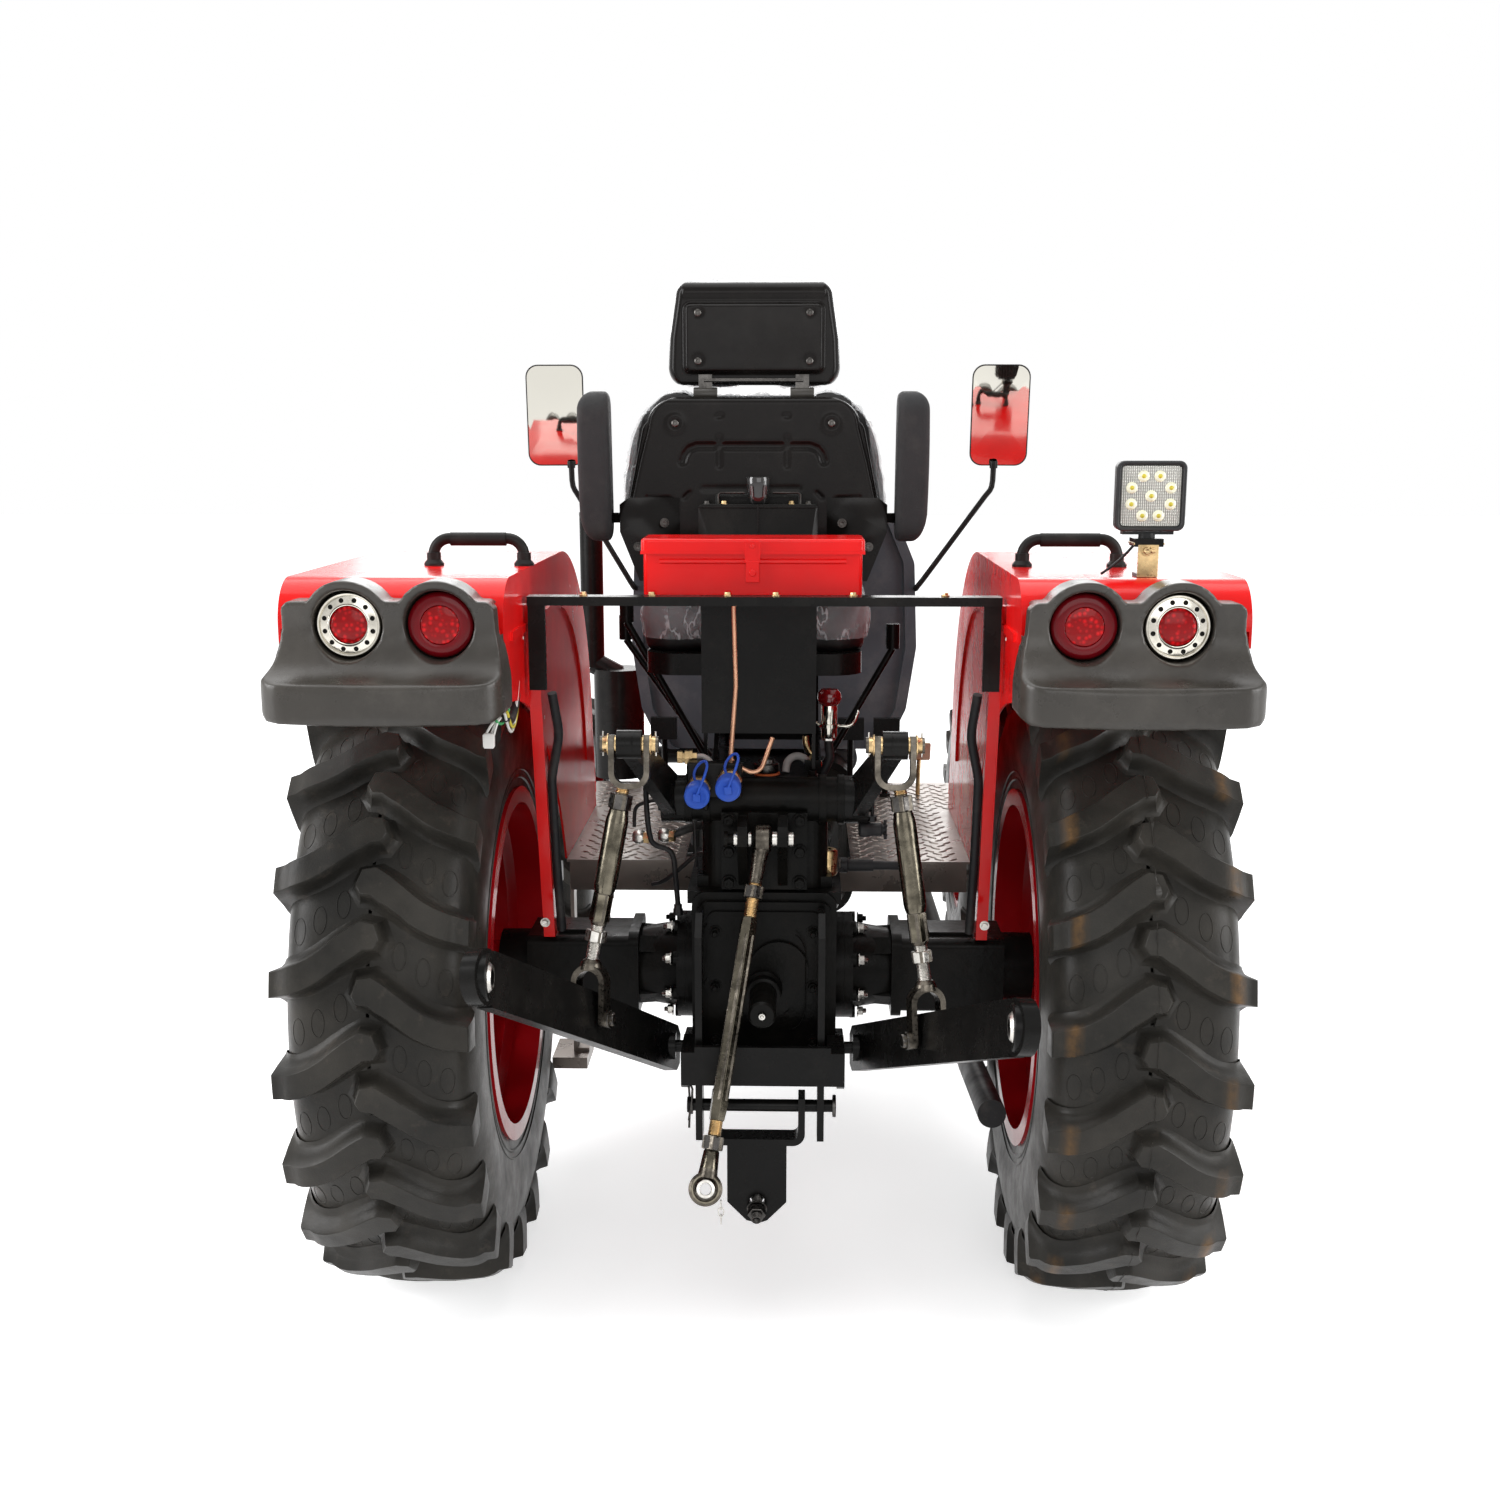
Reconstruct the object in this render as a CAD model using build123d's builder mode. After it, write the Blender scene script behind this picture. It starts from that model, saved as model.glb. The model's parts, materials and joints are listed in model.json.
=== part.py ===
from build123d import *
from math import cos, hypot, pi, radians, sin
import os

os.makedirs("parts", exist_ok=True)

# Farm tractor, millimetres. +Y is forward, +X is the tractor's right, +Z is up.
# The origin is on the ground, at the middle of the tractor's length and width.

# Driving dimensions
wheelbase = 1850.0
front_overhang = 750.0          # front axle to the face of the front weights
link_length = 742.0             # lower link, pivot to ball
link_height = 82.0
link_thickness = 24.0

rear_tyre_radius = 580.0
rear_tyre_width = 315.0
rear_track = 1217.0
rear_bead_radius = 305.0
rear_rim_half = 150.0
front_tyre_radius = 400.0
front_tyre_width = 205.0
front_track = 1230.0
front_bead_radius = 203.0
front_rim_half = 86.0
flange_height = 24.0            # rim flange above the bead seat
rim_wall = 6.0

fit = 0.3                       # gap between faces that seat on each other
pin_fit = 0.05                  # radial clearance of a pin in its hole
sheet = 4.0                     # body panels and fenders
sides = (("left", -1), ("right", 1))

# Stations along the tractor
pivot_y_from_axle = -120.0      # lower link pivots, from the rear axle
pivot_z = 460.0
pivot_x = 178.0
link_rise = {"left": 26.5, "right": 21.8}       # degrees above level
link_end_x = {"left": 392.0, "right": 372.0}
link_reach = max(
    ((link_length * cos(radians(link_rise[side]))) ** 2 - (link_end_x[side] - pivot_x) ** 2) ** 0.5
    for side, s in sides
)
rear_overhang = link_reach - pivot_y_from_axle + link_height / 2
rear_y = -(wheelbase + front_overhang - rear_overhang) / 2
front_y = rear_y + wheelbase
rear_z = rear_tyre_radius
front_z = front_tyre_radius


def block(x0, x1, y0, y1, z0, z1, mode=Mode.ADD):
    """Add a box to the part being built, given by its limits; y counts from the rear axle."""
    with Locations(((x0 + x1) / 2, rear_y + (y0 + y1) / 2, (z0 + z1) / 2)):
        Box(abs(x1 - x0), abs(y1 - y0), abs(z1 - z0), mode=mode)


def at(x, y, z):
    """A point whose y counts from the rear axle."""
    return Vector(x, rear_y + y, z)


def across(y, x=0.0):
    """Upright plane across the tractor: local x is X, local y is Z, its normal points back."""
    return Plane(origin=(x, rear_y + y, 0), x_dir=(1, 0, 0), z_dir=(0, -1, 0))


def along(x):
    """Upright plane along the tractor: local x counts forward from the rear axle, local y is Z."""
    return Plane(origin=(x, rear_y, 0), x_dir=(0, 1, 0), z_dir=(1, 0, 0))


def level(z):
    """Level plane: local x is X and local y counts forward from the rear axle."""
    return Plane(origin=(0, rear_y, z))


def rod(start, end, radius, mode=Mode.ADD):
    """Add a round bar between two points."""
    run = end - start
    with BuildSketch(Plane(origin=start, z_dir=run)) as section:
        Circle(radius)
    extrude(section.sketch, amount=run.length, mode=mode)


def pipe(points, bends, radius):
    """Add a round tube whose runs are joined by arcs."""
    with BuildLine() as route:
        FilletPolyline(*points, radius=bends)
    with BuildSketch(Plane(origin=points[0], z_dir=points[1] - points[0])) as section:
        Circle(radius)
    sweep(section.sketch, path=route.line)


def link_plane(start, end):
    """Plane half way between two points, its x along them and its z near the X axis."""
    run = (end - start).normalized()
    across = (Vector(1, 0, 0) - run * run.X).normalized()
    return Plane(origin=(start + end) / 2, x_dir=run, z_dir=across)


def bar(start, end, height, thickness, mode=Mode.ADD):
    """Add a flat bar with round ends between two pivots."""
    with BuildSketch(link_plane(start, end)) as outline:
        SlotCenterToCenter((end - start).length, height)
    extrude(outline.sketch, amount=thickness / 2, both=True, mode=mode)


def outline(plane, points, radius=0.0):
    """A sketch bounded by straight lines, its corners rounded where a radius is given."""
    with BuildSketch(plane) as shape:
        with BuildLine():
            if radius:
                FilletPolyline(*points, radius=radius, close=True)
            else:
                Polyline(*points, close=True)
        make_face()
    return shape.sketch


def turned(start, run, profile, mode=Mode.ADD):
    """Add a turned shape; its profile lists (distance along run, radius) from end to end."""
    axis = run.normalized()
    side = axis.cross(Vector(1, 0, 0) if abs(axis.Z) > 0.9 else Vector(0, 0, 1)).normalized()
    section = Plane(origin=start, x_dir=axis, z_dir=side)
    points = [(profile[0][0], 0), *profile, (profile[-1][0], 0)]
    revolve(outline(section, points), axis=Axis(start, axis), mode=mode)


def prism(start, end, flats, corners=6):
    """Add a bar with flat sides between two points; flats is the width across flats."""
    run = end - start
    with BuildSketch(Plane(origin=start, z_dir=run)) as section:
        RegularPolygon(flats / 2, corners, major_radius=False)
    extrude(section.sketch, amount=run.length)


def tapered_bar(start, end, start_radius, end_radius, thickness):
    """Add a flat bar between two pivots, its round ends of different sizes."""
    half = (end - start).length / 2
    with BuildSketch(link_plane(start, end)) as outline_sketch:
        with Locations((-half, 0)):
            Circle(start_radius)
        with Locations((half, 0)):
            Circle(end_radius)
        make_hull()
    extrude(outline_sketch.sketch, amount=thickness / 2, both=True)


# Tyres and wheels

def tyre_profile(plane, radius, half, bead, bead_half):
    """Half section of a tyre: crown, round shoulders, side walls and beads."""
    shoulder = half * 0.94
    drop = radius * 0.03
    side_r = bead + (radius - bead) * 0.5
    flange = bead + flange_height
    with BuildSketch(plane) as section:
        with BuildLine():
            ThreePointArc((-shoulder, radius - drop), (0, radius), (shoulder, radius - drop))
            ThreePointArc((shoulder, radius - drop), (half, side_r), (bead_half, flange))
            Polyline((bead_half, flange), (bead_half, bead), (-bead_half, bead), (-bead_half, flange))
            ThreePointArc((-bead_half, flange), (-half, side_r), (-shoulder, radius - drop))
        make_face()
    return section.sketch


def rim_profile(plane, bead, half):
    """Section of a rim: flanges, bead seats and the drop centre."""
    seat = half - rim_wall - 2
    well = bead - 25
    return outline(plane, (
        (-half, bead + flange_height), (-seat, bead + flange_height), (-seat, bead),
        (-half * 0.6, bead), (-half * 0.5, well), (half * 0.4, well), (half * 0.5, bead),
        (seat, bead), (seat, bead + flange_height), (half, bead + flange_height),
        (half, bead - rim_wall), (half * 0.5 + rim_wall, bead - rim_wall),
        (half * 0.4 + rim_wall, well - rim_wall), (-half * 0.5 - rim_wall, well - rim_wall),
        (-half * 0.6 - rim_wall, bead - rim_wall), (-half, bead - rim_wall),
    ))


# axle, centre y, centre z, tyre radius, tyre width, bead radius, rim half width, half track,
# hub face (from the wheel's middle, inboard), hub radius, hub length, dish reach (outboard),
# hand hole length and width
wheel_table = (
    ("rear", rear_y, rear_z, rear_tyre_radius, rear_tyre_width, rear_bead_radius,
     rear_rim_half, rear_track / 2, 50.0, 100.0, 68.0, 20.0, 34.0, 30.0),
    ("front", front_y, front_z, front_tyre_radius, front_tyre_width, front_bead_radius,
     front_rim_half, front_track / 2, 20.0, 70.0, 40.0, 15.0, 18.0, 20.0),
)
dish_wall = 10.0
dish_windows = 8
for (axle, y, z, radius, width, bead, rim_half, half_track, hub_face, hub_r, hub_len, dish,
     window_length, window_width) in wheel_table:
    for side, s in sides:
        # Local x points outboard and local y is the radius
        wheel_plane = Plane(origin=(s * half_track, y, z), x_dir=(s, 0, 0), z_dir=(0, 0, s))
        spin = Axis(wheel_plane.origin, (1, 0, 0))
        bead_half = rim_half - rim_wall - 2 - fit
        with BuildPart() as tyre:
            revolve(tyre_profile(wheel_plane, radius, width / 2, bead + fit, bead_half), axis=spin)
        tyre.part.label = f"{axle}_tyre_{side}"
        export_step(tyre.part, f"parts/{axle}_tyre_{side}.step")

        well_r = bead - 25 - rim_wall / 2   # where the dish is welded to the rim
        with BuildPart() as wheel:
            revolve(rim_profile(wheel_plane, bead, rim_half), axis=spin)
            revolve(outline(wheel_plane, (
                (-hub_face, 0), (-hub_face, hub_r + 10), (dish - 10, well_r * 0.84),
                (dish, well_r), (dish + dish_wall, well_r), (dish + dish_wall - 5, well_r * 0.82),
                (-hub_face + dish_wall, hub_r), (-hub_face + dish_wall, 0),
            )), axis=spin)
            revolve(outline(wheel_plane, (
                (-hub_face, 0), (-hub_face, hub_r), (-hub_face - 20, hub_r),
                (-hub_face - 20, hub_r * 0.4), (-hub_face - hub_len, hub_r * 0.4),
                (-hub_face - hub_len, 0),
            )), axis=spin)
            # hand holes through the dish
            with BuildSketch(Plane(origin=wheel_plane.origin, x_dir=(0, 1, 0), z_dir=(s, 0, 0))) as windows:
                with PolarLocations(well_r * 0.68, dish_windows):
                    SlotCenterToCenter(window_length, window_width, rotation=90)
            extrude(windows.sketch, amount=hub_face + dish, both=True, mode=Mode.SUBTRACT)
        wheel.part.label = f"{axle}_wheel_{side}"
        export_step(wheel.part, f"parts/{axle}_wheel_{side}.step")

rear_hub_end = rear_track / 2 - 50.0 - 68.0
front_hub_end = front_track / 2 - 20.0 - 40.0

# Transmission, engine and front support: the load-carrying spine
case_half = 128.0
case_bottom = 443.0
case_top = 757.0
case_rear = -150.0
cover_thickness = 16.0
gearbox_top = 655.0
bell_rear = 980.0
engine_rear = 1120.0
engine_front = 1640.0
engine_half = 190.0
bell_middle = 590.0
bell_height = 380.0
bell_top = bell_middle + bell_height / 2
trumpet_flange_x = 144.0
pto_boss = 10.0
strut_foot = rear_z + 75 + fit         # foot of the fender struts, on the axle housing

cover_bolts = tuple((x, z) for x in (-86.0, 86.0) for z in (490.0, 590.0, 690.0))
trumpet_bolts = 8
trumpet_flange_r = 98.0
with BuildPart() as transmission:
    with BuildSketch(across(case_rear)):
        with Locations((0, (case_bottom + case_top) / 2)):
            RectangleRounded(2 * case_half, case_top - case_bottom, 26)
    extrude(amount=case_rear - 210)
    with BuildSketch(along(-trumpet_flange_x)):
        with Locations((0, rear_z)):
            Circle(trumpet_flange_r)
    extrude(amount=2 * trumpet_flange_x)
    with BuildSketch(across(210)):
        with Locations((0, 545)):
            RectangleRounded(230, 220, 30)
    extrude(amount=-390)
    with BuildSketch(across(600)):
        with Locations((0, 545)):
            RectangleRounded(230, 220, 30)
    with BuildSketch(across(bell_rear)):
        with Locations((0, bell_middle)):
            RectangleRounded(360, bell_height - 30, 60)
    loft()
    with BuildSketch(across(bell_rear)):
        with Locations((0, bell_middle)):
            RectangleRounded(390, bell_height, 70)
    extrude(amount=bell_rear - engine_rear)
    # flange between the gearbox and the rear case, and its side covers
    with BuildSketch(across(212)):
        with Locations((0, 560)):
            RectangleRounded(256, 260, 30)
    extrude(amount=-24)
    for s in (-1, 1):
        for y, z, r in ((330, 545, 62), (480, 560, 44)):
            rod(at(s * 108, y, z), at(s * 124, y, z), r)
            rod(at(s * 120, y, z), at(s * 130, y, z), r * 0.55)
    # rear cover with its bolt bosses, a raised frame and the shaft's bearing boss
    with BuildSketch(across(case_rear)):
        with Locations((0, (case_bottom + case_top) / 2)):
            RectangleRounded(2 * case_half - 20, case_top - case_bottom - 30, 20)
    extrude(amount=cover_thickness - 6)
    with BuildSketch(across(case_rear - cover_thickness + 6)):
        with Locations((0, (case_bottom + case_top) / 2)):
            RectangleRounded(2 * case_half - 56, case_top - case_bottom - 62, 16)
        with Locations(*cover_bolts):
            Circle(19)
    extrude(amount=6)
    with BuildSketch(across(case_rear - cover_thickness)):
        with Locations((0, 590)):
            Circle(58)
        with Locations((26, 622)):
            Circle(52)
    extrude(amount=pto_boss)
    # top rim that the lift housing sits on
    block(-case_half - 8, case_half + 8, case_rear + 6, 190, case_top - 22, case_top)
transmission.part.label = "transmission_housing"
export_step(transmission.part, "parts/transmission_housing.step")
pto_base = case_rear - cover_thickness - pto_boss

with BuildPart() as engine:
    block(-150, 150, engine_rear + fit, engine_front, 470, 760)
    block(-engine_half, engine_half, engine_rear + fit, engine_rear + 30, 470, 780)
    block(-118, 118, engine_rear + 20, engine_front - 20, 760, 870)      # cylinder head
    with BuildSketch(level(870)):
        with Locations((0, (engine_rear + engine_front) / 2)):
            RectangleRounded(150, 420, 30)
    extrude(amount=78)                                                   # rocker cover
    with BuildSketch(level(470)):
        with Locations((0, (engine_rear + engine_front) / 2)):
            RectangleRounded(270, 440, 30)
    with BuildSketch(level(380)):
        with Locations((0, (engine_rear + engine_front) / 2 - 40)):
            RectangleRounded(210, 300, 30)
    loft()                                                               # oil pan
    for k in range(4):
        y = engine_rear + 90 + 110 * k
        rod(at(-118, y, 820), at(-178, y, 800), 22)                      # inlet runners
        rod(at(118, y, 820), at(172, y, 820), 20)                        # exhaust runners
    rod(at(172, engine_rear + 60, 820), at(172, engine_rear + 460, 820), 26)
    rod(at(-172, engine_rear + 60, 800), at(-172, engine_rear + 460, 800), 30)
    rod(at(170, engine_rear + 70, 820), at(170, engine_rear + 70, 620), 20)
    rod(at(160, engine_rear + 70, 620), at(engine_half, engine_rear + 70, 620), 24)
    rod(at(-150, 1300, 735), at(-engine_half, 1300, 735), 26)
    rod(at(-175, engine_rear + 20, 560), at(-175, engine_rear + 220, 560), 42)   # starter
    rod(at(178, 1420, 500), at(178, 1420, 640), 40)                      # oil filter
    rod(at(172, 1500, 690), at(172, 1600, 690), 48)                      # alternator
    rod(at(0, engine_front, 560), at(0, engine_front + 30, 560), 80)     # crank pulley
    rod(at(0, engine_front, 760), at(0, engine_front + 45, 760), 50)     # fan hub
    for k in range(7):
        blade = Vector(sin(2 * pi * k / 7), 0, cos(2 * pi * k / 7))
        centre = at(0, engine_front + 35, 760)
        bar(centre + blade * 60, centre + blade * 175, 60, 5)
engine.part.label = "engine_block"
export_step(engine.part, "parts/engine_block.step")

with BuildPart() as housings:
    for side, s in sides:
        trumpet = Plane(origin=(s * (trumpet_flange_x + fit), rear_y, rear_z), x_dir=(0, 1, 0), z_dir=(s, 0, 0))
        with BuildSketch(trumpet) as face:
            Circle(trumpet_flange_r)
        extrude(face.sketch, amount=16)
        with BuildSketch(trumpet.offset(12)) as bosses:
            with PolarLocations(trumpet_flange_r - 12, trumpet_bolts, start_angle=22.5):
                Circle(13)
        extrude(bosses.sketch, amount=10)
        with BuildSketch(trumpet.offset(16)) as wide:
            Circle(80)
        with BuildSketch(trumpet.offset(100)) as narrow:
            Circle(66)
        loft([wide.sketch, narrow.sketch])
        with BuildSketch(trumpet.offset(90)) as beam:
            RectangleRounded(150, 138, 16)
        extrude(beam.sketch, amount=200)
        with BuildSketch(trumpet.offset(86)) as collar:
            RectangleRounded(164, 156, 22)
        extrude(collar.sketch, amount=18)
        # webs from the flange to the square part
        for turn in (45, 135, 225, 315):
            out = Vector(0, cos(radians(turn)), sin(radians(turn)))
            root = at(s * (trumpet_flange_x + 28), 0, rear_z) + out * 64
            end = at(s * (trumpet_flange_x + 96), 0, rear_z) + out * 70
            bar(root, end, 34, 12)
        block(s * 300, s * 380, -40, 40, rear_z + 60, strut_foot - fit)
        with BuildSketch(trumpet.offset(290)) as neck:
            Circle(62)
        extrude(neck.sketch, amount=rear_hub_end - fit - trumpet_flange_x - 290 - fit)
housings.part.label = "axle_housings"
export_step(housings.part, "parts/axle_housings.step")

# Lift housing with the rocker shaft bosses and the top link bracket
shaft_y = -100.0
shaft_z = 915.0
shaft_boss = 140.0
shaft_rim_r = 45.0
lug_gap_middle = -2.0
top_pin_y = -200.0
top_pin_z = 865.5
top_eye_half = 20.0
lug_x = (-45.0, 24.0)           # inner left edges of the two lugs
lug_width = 17.0
plate_bolts = tuple((x, z) for x in (-62.0, 62.0) for z in (776.0, 832.0, 888.0))
with BuildPart() as lift_housing:
    with BuildSketch(level(case_top + fit)):
        with Locations((0, 31)):
            RectangleRounded(224, 298, 30)
    extrude(amount=143)
    block(-120, 120, -112, 176, case_top + fit, case_top + 20)
    with BuildSketch(along(-shaft_boss)):
        with Locations((shaft_y, shaft_z)):
            Circle(40)
    extrude(amount=2 * shaft_boss)
    for s in (-1, 1):
        rod(at(s * 96, shaft_y, shaft_z), at(s * 108, shaft_y, shaft_z), shaft_rim_r)
        rod(at(s * 128, shaft_y, shaft_z), at(s * shaft_boss, shaft_y, shaft_z), 44)
    # stepped cover with the filler cap
    with BuildSketch(level(900)):
        with Locations((0, 30)):
            RectangleRounded(190, 240, 30)
    extrude(amount=34)
    with BuildSketch(level(934)):
        with Locations((0, 30)):
            RectangleRounded(172, 222, 26)
    extrude(amount=14)
    turned(at(2, -62, 930), Vector(0, 0, 1), [(0, 20), (24, 20), (24, 16), (30, 16)])
    # bracket plate and lugs for the top link
    block(-75, 75, -150, -118, 763, 901)
    for x in lug_x:
        extrude(outline(along(x), (
            (-150, 770), (-150, 901), (-168, 901), (top_pin_y - 10, top_pin_z + 24),
            (top_pin_y - 24, top_pin_z + 8), (top_pin_y - 24, top_pin_z - 8), (top_pin_y - 8, top_pin_z - 24),
        )), amount=lug_width)
    with BuildSketch(across(-150)) as bosses:
        with Locations(*plate_bolts):
            Circle(13)
    extrude(bosses.sketch, amount=4)
    turned(at(-68, top_pin_y, top_pin_z), Vector(1, 0, 0), [(0, 14), (6, 14), (6, 9.5), (110, 9.5)])
lift_housing.part.label = "lift_housing"
export_step(lift_housing.part, "parts/lift_housing.step")

with BuildPart() as pto_cap:
    turned(at(0, pto_base - fit, 590), Vector(0, -1, 0), [
        (0, 33), (8, 33), (12, 28), (30, 28), (34, 23.5), (144, 23.5), (148, 20), (148, 7), (154, 4)])
pto_cap.part.label = "pto_cap"
export_step(pto_cap.part, "parts/pto_cap.step")

# Drawbar: two straps behind the transmission, the crossbeam with the lower link pins, and the clevis
strap = 12.0
strap_x = (-112.0, 101.0)
strap_y0 = -240.0
strap_y1 = -190.0
link_pin_r = 11.0
drawbar_hole_r = 13.0
ear_out = 142.0
with BuildPart() as drawbar:
    # crossbeam, an angle with its foot on the cover
    block(-118, 118, -262, -250, 440, 510)
    block(-118, 118, -262, case_rear - cover_thickness - fit, 440, 454)
    for x in strap_x:
        extrude(outline(along(x - strap / 2), (
            (strap_y0, 329), (strap_y1, 329), (strap_y1, 690), (case_rear - cover_thickness - fit, 690),
            (case_rear - cover_thickness - fit, 735), (strap_y1 - 14, 735), (strap_y0, 700),
        )), amount=strap)
    # cross pin with its head and the collar of its cotter
    turned(at(-134, -215, 386), Vector(1, 0, 0), [
        (0, 14), (8, 14), (8, 11), (256, 11), (256, 17), (262, 17)])
    # ears that carry the lower link pins
    for side, s in sides:
        extrude(outline(along(s * (case_half + fit)), (
            (-262, 440), (-250, 432), (pivot_y_from_axle + 30, 432), (pivot_y_from_axle + 30, 486),
            (-200, 500), (-262, 500),
        )), amount=s * (ear_out - case_half - fit))
        block(s * 112, s * ear_out, -262, case_rear - cover_thickness - fit, 440, 500)
        rod(at(s * ear_out, pivot_y_from_axle, pivot_z), at(s * (pivot_x + 22), pivot_y_from_axle, pivot_z), link_pin_r)
    # bent U bracket that hangs on the cross pin, and its hitch plate
    with BuildSketch(across(-200)) as bracket:
        with BuildLine():
            FilletPolyline((-90, 410), (-90, 322), (74, 322), (74, 410), radius=22)
            Line((74, 410), (62, 410))
            FilletPolyline((62, 410), (62, 334), (-78, 334), (-78, 410), radius=10)
            Line((-78, 410), (-90, 410))
        make_face()
    extrude(bracket.sketch, amount=45)
    extrude(outline(across(-225), (
        (-63, 330), (42, 330), (42, 213), (8, 178), (-8, 172), (-29, 178), (-63, 213),
    )), amount=14)
    with Locations(Location((-10, rear_y - 232, 215), (90, 0, 0))):
        Hole(drawbar_hole_r)
drawbar.part.label = "drawbar"
export_step(drawbar.part, "parts/drawbar.step")

# Three-point hitch: lift arms, lift rods, lower links and top link
arm_end_y = -350.0
arm_end_z = 1057.0
arm_end_x = 214.0
fork_share = 0.47               # place of the fork along the lower link
ball_radius = 26.0
ball_width = 35.0
link_eye_r = 11.2
lower_stroke = 40.0             # degrees that the lower links fall
cheek = 9.0
top_gap = 24.0
fork_gap = link_thickness / 2 + 8
with BuildPart() as lift_arms:
    for side, s in sides:
        hub = at(s * (shaft_boss + fit), shaft_y, shaft_z)
        rod(hub, hub + Vector(s * 42, 0, 0), 42)
        rod(hub + Vector(s * 42, 0, 0), hub + Vector(s * 48, 0, 0), 22)
        tapered_bar(at(s * 161, shaft_y, shaft_z), at(s * arm_end_x, arm_end_y, arm_end_z), 38, 22, 22)
        rod(at(s * (arm_end_x - 20), arm_end_y, arm_end_z), at(s * (arm_end_x + 20), arm_end_y, arm_end_z), 23)
        rod(at(s * (arm_end_x - 21), arm_end_y, arm_end_z), at(s * (arm_end_x + 21), arm_end_y, arm_end_z),
            10 + pin_fit, mode=Mode.SUBTRACT)
lift_arms.part.label = "lift_arms"
export_step(lift_arms.part, "parts/lift_arms.step")

for side, s in sides:
    rise = link_length * sin(radians(link_rise[side]))
    reach = ((link_length * cos(radians(link_rise[side]))) ** 2 - (link_end_x[side] - pivot_x) ** 2) ** 0.5
    pivot = at(s * pivot_x, pivot_y_from_axle, pivot_z)
    ball = at(s * link_end_x[side], pivot_y_from_axle - reach, pivot_z + rise)
    fork_pin = pivot + (ball - pivot) * fork_share
    half_ball = Vector(ball_width / 2, 0, 0)
    half_eye = Vector(18, 0, 0)
    with BuildPart() as link:
        # flat bar, round at the ball and cut off square with one corner chamfered at the pivot
        half = link_length / 2
        with BuildSketch(link_plane(pivot, ball)) as face:
            with Locations((half, 0)):
                Circle(link_height / 2)
            with Locations((-30, 0)):
                Rectangle(link_length + 22, link_height)
            chamfer(face.vertices().group_by(Axis.X)[0], 14)
        extrude(face.sketch, amount=link_thickness / 2, both=True)
        rod(pivot - half_eye, pivot + half_eye, 24)
        turned(ball - half_ball, half_ball, [
            (0, 17), (6, ball_radius - 3), (12, ball_radius), (ball_width - 12, ball_radius),
            (ball_width - 6, ball_radius - 3), (ball_width, 17)])
        rod(pivot - half_eye * 1.2, pivot + half_eye * 1.2, link_pin_r + pin_fit, mode=Mode.SUBTRACT)
        rod(ball - half_ball * 1.2, ball + half_ball * 1.2, link_eye_r, mode=Mode.SUBTRACT)
    link.part.label = f"lower_link_{side}"
    export_step(link.part, f"parts/lower_link_{side}.step")

    top = at(s * arm_end_x, arm_end_y, arm_end_z)
    # the fork's cheeks are parallel to the link at the middle of its stroke
    pin_run = link_plane(pivot, ball).z_dir.rotate(Axis.X, lower_stroke / 2)
    rod_run = (fork_pin - top).normalized()
    fork_run = (rod_run - pin_run * rod_run.dot(pin_run)).normalized()
    fork_top = fork_pin - fork_run * 88
    clevis_low = top + rod_run * 66
    run = (fork_top - clevis_low).normalized()
    length = (fork_top - clevis_low).length
    with BuildPart() as lift_rod:
        # U clevis, bent from flat bar, round the arm's boss
        strap_plane = Plane(origin=top, x_dir=(1, 0, 0), z_dir=Vector(1, 0, 0).cross(rod_run))
        sign = 1 if strap_plane.y_dir.dot(rod_run) > 0 else -1
        inner = top_gap
        outer = top_gap + cheek
        with BuildSketch(strap_plane) as strap_face:
            with BuildLine():
                FilletPolyline((-outer, -sign * 15), (-outer, sign * 72), (outer, sign * 72), (outer, -sign * 15), radius=26)
                Line((outer, -sign * 15), (inner, -sign * 15))
                FilletPolyline((inner, -sign * 15), (inner, sign * 63), (-inner, sign * 63), (-inner, -sign * 15), radius=18)
                Line((-inner, -sign * 15), (-outer, -sign * 15))
            make_face()
        extrude(strap_face.sketch, amount=14, both=True)
        turned(top - Vector(outer + 14, 0, 0), Vector(1, 0, 0), [
            (0, 13), (9, 13), (9, 10), (2 * outer + 19, 10), (2 * outer + 19, 13), (2 * outer + 28, 13)])
        # threaded rods, lock nuts and the turnbuckle, tapered to its hexagonal end
        rod(clevis_low, fork_top, 10)
        prism(clevis_low + run * 16, clevis_low + run * 40, 32)
        turned(clevis_low, run, [
            (40, 13), (58, 17), (length - 132, 17), (length - 118, 13.5), (length - 70, 13.5), (length - 66, 12)])
        prism(clevis_low + run * (length - 118), clevis_low + run * (length - 72), 28)
        prism(fork_top - run * 56, fork_top - run * 38, 30)
        # arched fork that straddles the lower link
        fork_half = fork_gap + cheek
        fork_plane = Plane(origin=fork_pin, x_dir=pin_run, z_dir=pin_run.cross(-fork_run))
        with BuildSketch(fork_plane) as arch:
            with BuildLine():
                Line((-fork_half, 0), (-fork_half, 88 - fork_half))
                ThreePointArc((-fork_half, 88 - fork_half), (0, 88), (fork_half, 88 - fork_half))
                Polyline((fork_half, 88 - fork_half), (fork_half, 0), (fork_gap, 0), (fork_gap, 78 - fork_gap))
                ThreePointArc((fork_gap, 78 - fork_gap), (0, 78), (-fork_gap, 78 - fork_gap))
                Polyline((-fork_gap, 78 - fork_gap), (-fork_gap, 0), (-fork_half, 0))
            make_face()
        extrude(arch.sketch, amount=14, both=True)
        turned(fork_top - fork_run * 8, fork_run, [(0, 13), (6, 17), (16, 19)])
        for k in (-1, 1):
            rod(fork_pin + pin_run * k * fork_gap, fork_pin + pin_run * k * (fork_half + 8), 14)
            prism(fork_pin + pin_run * k * (fork_half + 8), fork_pin + pin_run * k * (fork_half + 14), 19)
    lift_rod.part.label = f"lift_rod_{side}"
    export_step(lift_rod.part, f"parts/lift_rod_{side}.step")

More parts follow.
